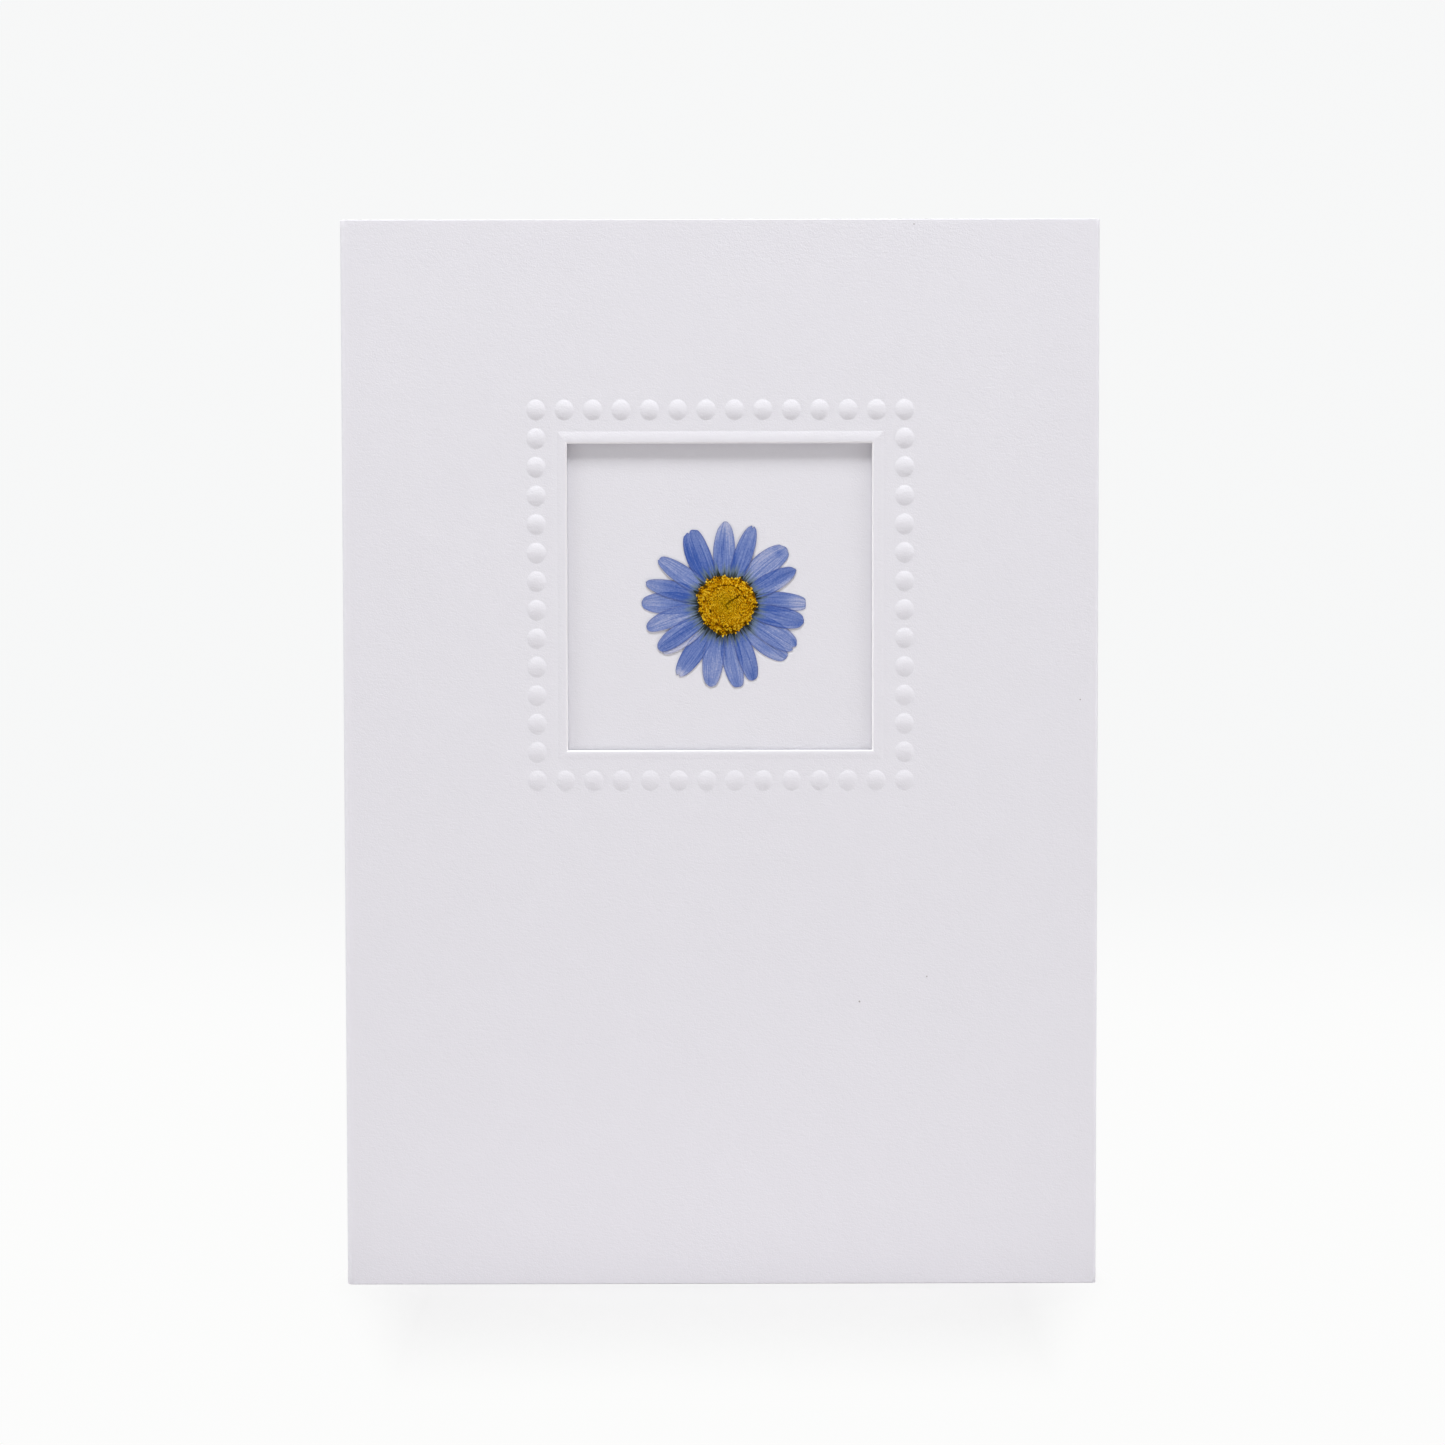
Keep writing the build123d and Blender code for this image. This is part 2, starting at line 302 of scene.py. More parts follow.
def dome(corners, radius, rings, dip=0, unit=1, height=0):
    """A circle drawn inwards over rings of a radius and a height to its middle; left in edit mode."""
    piece = upright_circle(corners, radius * unit, y=-height)
    start_editing(piece, "SELECT")
    for new_radius, new_height in rings:
        bpy.ops.mesh.extrude_edges_move()
        share = new_radius / radius
        bpy.ops.transform.resize(value=(share, 1, share), center_override=(0, 0, 0))
        bpy.ops.transform.translate(value=(0, height - new_height, 0))
        radius, height = new_radius, new_height
    bpy.ops.mesh.extrude_edges_move()
    bpy.ops.mesh.merge(type="CENTER")
    bpy.ops.transform.translate(value=(0, dip, 0))
    return piece


def copy_of(model, place, scale, turn=(0, 0, 0)):
    """A copy of a piece with a mesh of its own, placed, sized and turned."""
    copy = bpy.data.objects.new(model.name, model.data.copy())
    bpy.context.scene.collection.objects.link(copy)
    copy.location, copy.scale, copy.rotation_euler = place, scale, turn
    return copy


def join(pieces, name):
    """Joins pieces into the first one, under a name."""
    choose(*pieces)
    bpy.ops.object.join()
    pieces[0].name = pieces[0].data.name = name
    return pieces[0]


def apply_modifier(piece, kind, **settings):
    """Adds a modifier with its settings and applies it."""
    choose(piece)
    bpy.ops.object.modifier_add(type=kind)
    modifier = piece.modifiers[-1]
    for key, value in settings.items():
        setattr(modifier, key, value)
    bpy.ops.object.modifier_apply(modifier=modifier.name)


def write_values(mesh, name, kind, values):
    """Stores values at a mesh's corners for its material to read."""
    attribute = mesh.attributes.new(name, kind, "POINT")
    attribute.data.foreach_set("vector" if kind == "FLOAT_VECTOR" else "value", values)


def finish_piece(piece, material, slot, *nodes):
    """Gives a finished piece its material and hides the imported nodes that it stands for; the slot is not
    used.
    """
    piece.data.materials.clear()
    piece.data.materials.append(material)
    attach(piece, "root")
    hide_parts(*nodes)


def within(value):
    """A value kept between 0 and 1."""
    return min(max(value, 0), 1)


def between(low, high, share):
    """The value at a share of the way from one value to another."""
    return low + (high - low) * share


def soft(value, start, end):
    """0 before the start, 1 after the end and a smooth step between."""
    share = within((value - start) / (end - start))
    return share * share * (3 - 2 * share)


# Materials

SHADER = "Principled BSDF"


class Nodes:
    """Nodes of a material or a world. Their inputs are numbers, colours or other nodes' outputs."""

    def __init__(self, owner):
        owner.use_nodes = True
        self.owner = owner
        self.tree = owner.node_tree

    def add(self, kind, inputs, output=0, **settings):
        """Adds a node and gives back one of its outputs."""
        node = self.tree.nodes.new(f"ShaderNode{kind}")
        for key, value in settings.items():
            setattr(node, key, value)
        for socket, value in inputs.items():
            self.set(node, socket, value)
        return node.outputs[output]

    def set(self, node, socket, value):
        """Gives a node's input a value or an output."""
        if isinstance(value, bpy.types.NodeSocket):
            self.tree.links.new(value, node.inputs[socket])
        else:
            node.inputs[socket].default_value = value

    def set_named(self, name, **inputs):
        """The same for inputs of a node that was there from the start."""
        for socket, value in inputs.items():
            self.set(self.tree.nodes[name], socket.replace("_", " "), value)

    def math(self, operation, *values):
        """A sum, a product and so on of values."""
        return self.add("Math", dict(enumerate(values)), operation=operation)

    def place(self, scale=(1, 1, 1), location=(0, 0, 0)):
        """Object coordinates, scaled and moved."""
        found = self.add("TexCoord", {}, "Object")
        return self.add("Mapping", {"Vector": found, "Location": location, "Scale": scale})

    def from_flower(self, operation, output):
        """The distance from the flower's middle across the paper, or the direction from it."""
        centred = self.place((1, 0, 1), (-FLOWER_X, 0, -FLOWER_Z))
        return self.add("VectorMath", {0: centred}, output, operation=operation)

    def split(self, vector):
        """A vector's three parts."""
        return self.add("SeparateXYZ", {0: vector}).node.outputs

    def attribute(self, name, output="Fac"):
        """A value that the mesh carries."""
        return self.add("Attribute", {}, output, attribute_name=name)

    def noise(self, scale, detail, roughness=0.5, vector=None):
        """Noise over object coordinates, or over a vector of its own."""
        vector = vector or self.place()
        return self.add(
            "TexNoise", {"Vector": vector, "Scale": scale, "Detail": detail, "Roughness": roughness}
        )

    def level(self, value, start, end, low=0, high=1, kind="LINEAR"):
        """Low at the start and high at the end of a value's range."""
        inputs = {"Value": value, "From Min": start, "From Max": end, "To Min": low, "To Max": high}
        return self.add("MapRange", inputs, interpolation_type=kind)

    def smooth(self, value, start, end):
        """0 at the start and 1 at the end of a value's range, with a smooth step."""
        return self.level(value, start, end, kind="SMOOTHSTEP")

    def shade(self, tint, strength):
        """A colour made lighter or darker."""
        return self.add("VectorMath", {0: tint, "Scale": strength}, operation="SCALE")

    def mix(self, factor, first, second):
        """From the first colour to the second by a factor."""
        inputs = {"Factor": factor}
        for socket, value in (("A", first), ("B", second)):
            inputs[socket] = value if isinstance(value, bpy.types.NodeSocket) else (*value, 1)
        return self.add("Mix", inputs, "Result", data_type="RGBA")

    def ramp(self, value, first, last, middle):
        """A ramp of colours from 0 to 1, with those in its middle at their places."""
        found = self.add("ValToRGB", {"Fac": value})
        stops = found.node.color_ramp.elements
        stops[0].color, stops[1].color = (*first, 1), (*last, 1)
        for position, tint in middle.items():
            stops.new(position).color = (*tint, 1)
        return found

    def finish(self, tint, height=None, distance=0):
        """Gives the shader its colour and its relief, and gives back the material."""
        self.set_named(SHADER, Base_Color=tint)
        if height:
            relief = {"Height": height, "Strength": 1.0, "Distance": distance}
            self.set_named(SHADER, Normal=self.add("Bump", relief))
        return self.owner


def new_material(name, roughness, specular=0.5):
    """A new material's nodes, with how rough and how shiny its shader is."""
    nodes = Nodes(bpy.data.materials.new(name))
    nodes.set_named(SHADER, Roughness=roughness, Specular_IOR_Level=specular)
    return nodes


# Specks of dust on the front, in metres: to the right of its middle, height, and radius
SPECKS = (
    (0.0193, 0.0398, 0.00013), (0.0287, 0.0433, 0.0001), (0.05, 0.082, 0.0001), (0.0268, 0.1478, 0.0001),
)
# Where a speck fades out, in its radii, and how dark it is
SPECK_EDGE, SPECK_STRENGTH = (0.7, 1.2), 0.75
# How far the paper's and the flower's relief stands out, in metres
PAPER_RELIEF, FLOWER_RELIEF = 0.0000285, 0.02 * MM


def paper_material(sizes, colours):
    """Uncoated white card: faint felt marks, fine fibres, a soft mottle, a few specks, and a paler cut lip,
    partly bare fibres and partly a painted highlight.
    """
    nodes = new_material("card_paper", 0.85, 0.25)
    mottle = nodes.level(nodes.noise(90, 3, 0.55), 0.3, 0.7, 0.998, 1.002)
    middle_z = SHEET_HIGH.z - sizes.emboss_below_top - sizes.window_low
    centred = nodes.place(location=(sizes.window_left, -FRONT_BACK, -middle_z))
    depth = nodes.split(centred)[1]
    across, _, up = nodes.split(nodes.add("VectorMath", {0: centred}, operation="ABSOLUTE"))
    outside = nodes.math(
        "MAXIMUM", nodes.math("SUBTRACT", across, sizes.window_width / 2),
        nodes.math("SUBTRACT", up, sizes.window_height / 2),
    )
    # A band along the window's lip, on the front half of the stock, is paler: partly bare cut fibres, partly
    # a painted highlight
    lip = nodes.math(
        "MULTIPLY", nodes.smooth(outside, -sizes.lip / 2, 0),
        nodes.smooth(outside, sizes.lip * 1.6, sizes.lip * 0.8),
    )
    lip = nodes.math("MULTIPLY", lip, nodes.smooth(depth, sizes.stock / 2, 0))
    surface = nodes.mix(lip, nodes.shade(colours.paper, mottle), colours.cut)
    for x, z, radius in SPECKS:
        place = (x, FRONT_BACK - sizes.stock, z)
        away = nodes.add("VectorMath", {0: nodes.place(), 1: place}, "Value", operation="DISTANCE")
        start, end = (radius * share for share in SPECK_EDGE)
        surface = nodes.mix(nodes.level(away, start, end, SPECK_STRENGTH, 0), surface, colours.speck)
    felt, fibre = nodes.noise(2600, 3, 0.6, nodes.place((0.45, 0.45, 1))), nodes.noise(5200, 2)
    return nodes.finish(surface, nodes.math("ADD", felt, fibre), PAPER_RELIEF)


def tape_material(colours):
    """Double-sided tape: dull film with fine fibres along it."""
    nodes = new_material("tape_film", 0.6)
    fibres = nodes.level(nodes.noise(1500, 3, 0.6, nodes.place((0.2, 1, 1))), 0.3, 0.7, 0.9, 1.05)
    return nodes.finish(nodes.shade(colours.tape, fibres))


def petal_material(colours):
    """Dyed, pressed petal: fine veins from root to tip, mottled dye, a thin dark outline and a green root."""
    nodes = new_material("petal", 0.7, 0.25)
    across, along, rim = nodes.split(nodes.attribute("place", "Vector"))
    number = nodes.attribute("number")

    def veins(crosswise, lengthwise, detail):
        vector = nodes.add("CombineXYZ", {
            0: nodes.math("MULTIPLY", across, crosswise),
            1: nodes.math("MULTIPLY", along, lengthwise), 2: number,
        })
        return nodes.noise(1, detail, vector=vector)

    # Broad streaks, fine streaks and thin veins, by how many lie across and along a petal
    broad, fine = veins(4.5, 1.6, 2), nodes.smooth(veins(15, 2.0, 1), 0.6, 0.38)
    from_vein = nodes.math("ABSOLUTE", nodes.math("SUBTRACT", veins(6.5, 0.9, 1), 0.5))
    vein = nodes.smooth(from_vein, 0.055, 0.01)
    tone = nodes.attribute("tone")
    # Each pattern, its mean and how much it deepens the dye
    patterns = ((broad, 0.5, 0.52), (fine, 0.45, 0.18), (vein, 0.3, 0.2), (nodes.noise(4200, 2), 0.5, 0.55))
    for pattern, mean, strength in patterns:
        tone = nodes.math("MULTIPLY_ADD", nodes.math("SUBTRACT", pattern, mean), strength, tone)
    # Deeper where a neighbour lies under this petal, and most along the neighbour's sides
    for name in ("under_before", "under_after"):
        other_across, other_along, is_under = nodes.split(nodes.attribute(name, "Vector"))
        other_across = nodes.math("ABSOLUTE", other_across)
        inside = nodes.math(
            "MULTIPLY", nodes.smooth(other_across, 1.03, 0.97), nodes.smooth(other_along, 1.01, 0.98)
        )
        line = nodes.math("MULTIPLY", nodes.smooth(other_across, 0.86, 0.97), inside)
        deeper = nodes.math("MULTIPLY_ADD", line, 0.2, nodes.math("MULTIPLY", inside, 0.16))
        tone = nodes.math("MULTIPLY_ADD", deeper, is_under, tone)
    surface = nodes.ramp(tone, colours.petal_pale, colours.petal_deep, {0.5: colours.petal})
    rays = nodes.noise(14, 3, 0.6, nodes.from_flower("NORMALIZE", "Vector"))
    reach = nodes.math("MULTIPLY_ADD", rays, 6.4 * MM, 1.95 * MM)
    nearness = nodes.math("SUBTRACT", reach, nodes.from_flower("LENGTH", "Value"))
    # The outline, the green root, and the bracts' dark round the disc
    for mask, strength, tint in (
        (nodes.smooth(rim, 0.17, 0.06), 0.33, colours.petal_edge),
        (nodes.smooth(nearness, -0.7 * MM, 0.6 * MM), 0.75, colours.petal_root),
        (nodes.smooth(nearness, 0.4 * MM, 1.15 * MM), 0.8, colours.bract),
    ):
        surface = nodes.mix(nodes.math("MULTIPLY", mask, strength), surface, tint)
    ridges = nodes.math("MULTIPLY", nodes.math("ADD", fine, vein), 0.4)
    return nodes.finish(surface, nodes.math("ADD", broad, ridges), FLOWER_RELIEF)


def disc_material(colours):
    """Dried florets: golden, rusty at their edges, painted shade in the gaps and olive in the middle."""
    nodes = new_material("florets", 0.75, 0.02)
    grain = nodes.noise(3600, 4)
    tone = nodes.math("MULTIPLY_ADD", nodes.math("SUBTRACT", grain, 0.5), 0.7, nodes.attribute("tone"))
    golden = nodes.ramp(tone, colours.floret_gap_shade, colours.floret_pale, {
        0.16: colours.floret_rust, 0.36: colours.floret_orange, 0.62: colours.floret,
    })
    olive = nodes.smooth(nodes.from_flower("LENGTH", "Value"), 2.2 * MM, 0.1 * MM)
    surface = nodes.mix(nodes.math("MULTIPLY", olive, 0.3), golden, colours.floret_olive)
    return nodes.finish(surface, grain, FLOWER_RELIEF)


def bract_material(colours):
    """Dried bracts: near-black green, streaked from base to point."""
    nodes = new_material("bract", 0.8, 0.2)
    rays = nodes.noise(40, 3, vector=nodes.from_flower("NORMALIZE", "Vector"))
    outwards = nodes.smooth(nodes.from_flower("LENGTH", "Value"), 4.0 * MM, 5.2 * MM)
    streak = nodes.math("MULTIPLY_ADD", nodes.math("SUBTRACT", rays, 0.5), 1.2, outwards)
    return nodes.finish(nodes.mix(streak, colours.bract, colours.bract_tip))


# The folded sheet

# A bead's rings in shares of its radius, from its open edge inwards, and where its foot begins
BEAD_CORNERS = 32
BEAD_EDGE, BEAD_FOOT = 1.1, 0.97
BEAD_RINGS = (1.06, 1.03, 1.0, 0.97, 0.9, 0.8, 0.67, 0.52, 0.36, 0.18)
# How much more the lowest beads rise at their upper side
BEAD_LEAN = 0.2
# The rim's rings in shares of its width, from the window outwards, and the last one on the flat front
RIM_RINGS = (0.15, 0.25, 0.33, 0.43, 0.53, 0.63, 0.73, 0.82, 0.9, 0.96, 1.0)
RIM_APRON = 1.06
# How steep the rim's foot is, how far its drop to the lip reaches, and how much less that is at the top
RIM_POWER = 2.3
SHOULDER_REACH, SHOULDER_LOSS = 0.42, 0.6
FOLD_STEPS = 14


def bead_height_at(share):
    """How high a bead is at a share of its radius: a low cap with a small hollow foot."""
    if share < BEAD_FOOT:
        return 1 - share * share
    past = min((share - BEAD_FOOT) / (BEAD_RINGS[0] - BEAD_FOOT), 1)
    return (1 - BEAD_FOOT * BEAD_FOOT) * (1 - past) ** 2


def rim_height_at(share):
    """The rim's curve: level at the window and steepest at its foot."""
    return 1 - within(share) ** RIM_POWER


def bead_ring(sizes, front, middle_z):
    """All the beads, each a copy of one, pressed deeper towards the top."""
    rings = [(share, bead_height_at(share)) for share in BEAD_RINGS]
    model = dome(BEAD_CORNERS, BEAD_EDGE, rings, dip=rings[-1][1] - 1)
    stop_editing()
    last = sizes.beads_a_side - 1
    beads = []
    for column in range(sizes.beads_a_side):
        for row in range(sizes.beads_a_side):
            if column not in (0, last) and row not in (0, last):
                continue
            x, z = (column - last / 2) * sizes.bead_pitch_across, (row - last / 2) * sizes.bead_pitch_up
            rise = between(sizes.bead_rise_bottom, sizes.bead_rise_top, row / last)
            scale = (sizes.bead_width / 2, rise, sizes.bead_height / 2)
            bead = copy_of(model, (x, front, middle_z + z), scale)
            lean = BEAD_LEAN * (1 - (row / last) ** 4)
            for vertex in bead.data.vertices:
                vertex.co.y *= 1 + lean * vertex.co.z
            beads.append(bead)
    bpy.data.objects.remove(model)
    return beads


def rectangle(name, x0, x1, z0, z1, y):
    """An open rectangle of four edges that stands in the front's plane."""
    bpy.ops.mesh.primitive_plane_add(size=1, location=((x0 + x1) / 2, y, (z0 + z1) / 2), rotation=UPRIGHT)
    piece = bpy.context.active_object
    piece.name = name
    piece.scale = (x1 - x0, z1 - z0, 1)
    place_in_mesh(piece)
    start_editing(piece)
    bpy.ops.mesh.select_mode(type="FACE")
    bpy.ops.mesh.select_all(action="SELECT")
    bpy.ops.mesh.delete(type="ONLY_FACE")
    stop_editing()
    return piece


def window_rim(sizes, front, middle_z):
    """The raised rim: the window's outline drawn outwards, ring by ring, down to the flat front."""
    middle_x, cut_z = -sizes.window_left, middle_z - sizes.window_low
    half_w, half_h = sizes.window_width / 2, sizes.window_height / 2
    rim = rectangle("rim", middle_x - half_w, middle_x + half_w, cut_z - half_h, cut_z + half_h, front)
    start_editing(rim, "SELECT")
    outer_w, outer_h = half_w + sizes.rim_width, half_h + sizes.rim_width
    width, height, across, up = half_w, half_h, middle_x, cut_z
    for share in (*RIM_RINGS, RIM_APRON):
        bpy.ops.mesh.extrude_edges_move()
        new_w, new_h = between(half_w, outer_w, share), between(half_h, outer_h, share)
        bpy.ops.transform.resize(
            value=(new_w / width, 1, new_h / height), center_override=(across, front, up)
        )
        toward = min(share, 1)
        new_across, new_up = middle_x * (1 - toward), between(cut_z, middle_z, toward)
        bpy.ops.transform.translate(value=(new_across - across, 0, new_up - up))
        width, height, across, up = new_w, new_h, new_across, new_up
    mesh = bmesh.from_edit_mesh(rim.data)
    for vertex in mesh.verts:
        up_share = within((vertex.co.z - middle_z) / outer_h / 2 + 0.5)
        rise = between(sizes.rim_rise_bottom, sizes.rim_rise_top, up_share)
        side = -1 if vertex.co.x < 0 else 1
        inner = half_w + side * middle_x
        share = (side * vertex.co.x - inner) / (outer_w - inner)
        shoulder = sizes.shoulder * (1 - SHOULDER_LOSS * up_share) * max(1 - share / SHOULDER_REACH, 0) ** 2
        vertex.co.y = front - rise * rim_height_at(share) + shoulder
    bmesh.update_edit_mesh(rim.data)
    outer = max(vertex.co.x for vertex in mesh.verts)

    def is_crease(edge):
        mitre = edge.calc_length() < sizes.rim_width
        level = all(abs(vertex.co.y - front) < sizes.stock / 1000 for vertex in edge.verts)
        at_rim = max(abs(vertex.co.x) for vertex in edge.verts) < outer - sizes.stock / 10
        return at_rim if level else mitre

    select_edges(rim, is_crease)
    bpy.ops.mesh.mark_sharp()
    stop_editing()
    return rim


def folded_sheet(sizes):
    """The whole sheet: rim, beads and flat front filled between them, both folds, flap and back."""
    front, bottom, top = FRONT_BACK - sizes.stock, SHEET_LOW.z, SHEET_HIGH.z
    middle_z = top - sizes.emboss_below_top
    left, right = SHEET_LOW.x + sizes.spine_radius, SHEET_HIGH.x - sizes.fold_radius
    strip, tiny = sizes.stock * 3, sizes.stock / 20
    beads = bead_ring(sizes, front, middle_z)
    border = rectangle("border", left, right, bottom + strip, top - strip, front)
    rim = window_rim(sizes, front, middle_z)
    for bead in beads:
        place_in_mesh(bead)
    sheet = join([rim, border] + beads, "card")
    start_editing(sheet)
    select_edges(sheet, is_open)
    window = (sizes.window_width + sizes.rim_width) / 2
    set_edges(sheet, ends(lambda co: abs(co.x) < window and abs(co.z - middle_z) < window), False)
    bpy.ops.mesh.fill(use_beauty=True)
    for edge_z, way in ((top - strip, strip), (bottom + strip, -strip)):
        select_edges(sheet, ends(lambda co: abs(co.z - edge_z) < tiny and abs(co.y - front) < tiny))
        extrude(z=way)

    def fold(x, turn, radius):
        bpy.ops.mesh.spin(steps=FOLD_STEPS, angle=turn, center=(x, front + radius, 0), axis=(0, 0, 1))

    select_edges(sheet, ends(lambda co: abs(co.x - right) < tiny))
    fold(right, -math.pi, sizes.fold_radius)
    extrude(x=SHEET_LOW.x + sizes.flap_to_spine - right)
    select_edges(sheet, ends(lambda co: abs(co.x - left) < tiny and abs(co.y - front) < tiny))
    fold(left, math.pi - sizes.opening, sizes.spine_radius)
    reach = SHEET_HIGH.x - left
    extrude(reach * math.cos(sizes.opening), reach * math.sin(sizes.opening))
    bpy.ops.mesh.select_all(action="SELECT")
    bpy.ops.mesh.remove_doubles(threshold=sizes.stock / 100)
    bpy.ops.mesh.normals_make_consistent(inside=False)
    stop_editing()
    return sheet


def face_reader(sheet):
    """Turns the sheet's faces over if its front looks away from the reader."""
    faces = [face for face in sheet.data.polygons if face.center.y < FRONT_BACK]
    if sum(face.normal.y * face.area for face in faces if abs(face.normal.y) > 0.99) > 0:
        start_editing(sheet, "SELECT")
        bpy.ops.mesh.flip_normals()
        stop_editing()


def round_edges(sheet, sizes):
    """Rounds the window's lip on the reader's side, and then the sheet's outer cut edges."""
    mid_stock = FRONT_BACK - sizes.stock + sizes.stock / 2
    middle_z = SHEET_HIGH.z - sizes.emboss_below_top
    reach_x = sizes.window_width / 2 + sizes.window_left + sizes.stock / 10
    reach_z = sizes.window_height / 2 + sizes.window_low + sizes.stock / 10

    def in_window(co, more=0):
        return abs(co.x) < reach_x + more and abs(co.z - middle_z) < reach_z + more

    start_editing(sheet)
    select_edges(sheet, ends(lambda co: in_window(co) and co.y < mid_stock))
    bpy.ops.mesh.bevel(offset=sizes.lip, segments=5, affect="EDGES")
    bpy.ops.mesh.select_all(action="DESELECT")
    bpy.ops.mesh.select_mode(type="EDGE")
    bpy.ops.mesh.edges_select_sharp(sharpness=math.radians(60))
    set_edges(sheet, ends(lambda co: in_window(co, sizes.lip)), False)
    bpy.ops.mesh.bevel(offset=sizes.cut_edge, segments=3, affect="EDGES")
    stop_editing()


class CARD_OT_sheet(bpy.types.Operator):
    """Model the folded sheet with its window, rim and beads, and dress the tape behind it"""

    bl_idname = "card.sheet"
    bl_label = "Folded sheet"

    def execute(self, context):
        sizes, colours = context.scene.card_sizes, context.scene.card_colours
        sheet = folded_sheet(sizes)
        face_reader(sheet)
        apply_modifier(
            sheet, "SOLIDIFY", thickness=sizes.stock, offset=-1, use_even_offset=True, use_rim=True
        )
        round_edges(sheet, sizes)
        bpy.ops.object.shade_smooth_by_angle(angle=math.radians(35))
        apply_modifier(sheet, "WEIGHTED_NORMAL", mode="FACE_AREA", weight=90, keep_sharp=True)
        finish_piece(sheet, paper_material(sizes, colours), "card", "card_sheet")
        tape = tape_material(colours)
        for name in ("tape_top", "tape_bottom", "tape_spine_side"):
            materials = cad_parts[name].data.materials
            materials.clear()
            materials.append(tape)
        return {"FINISHED"}


# The flower

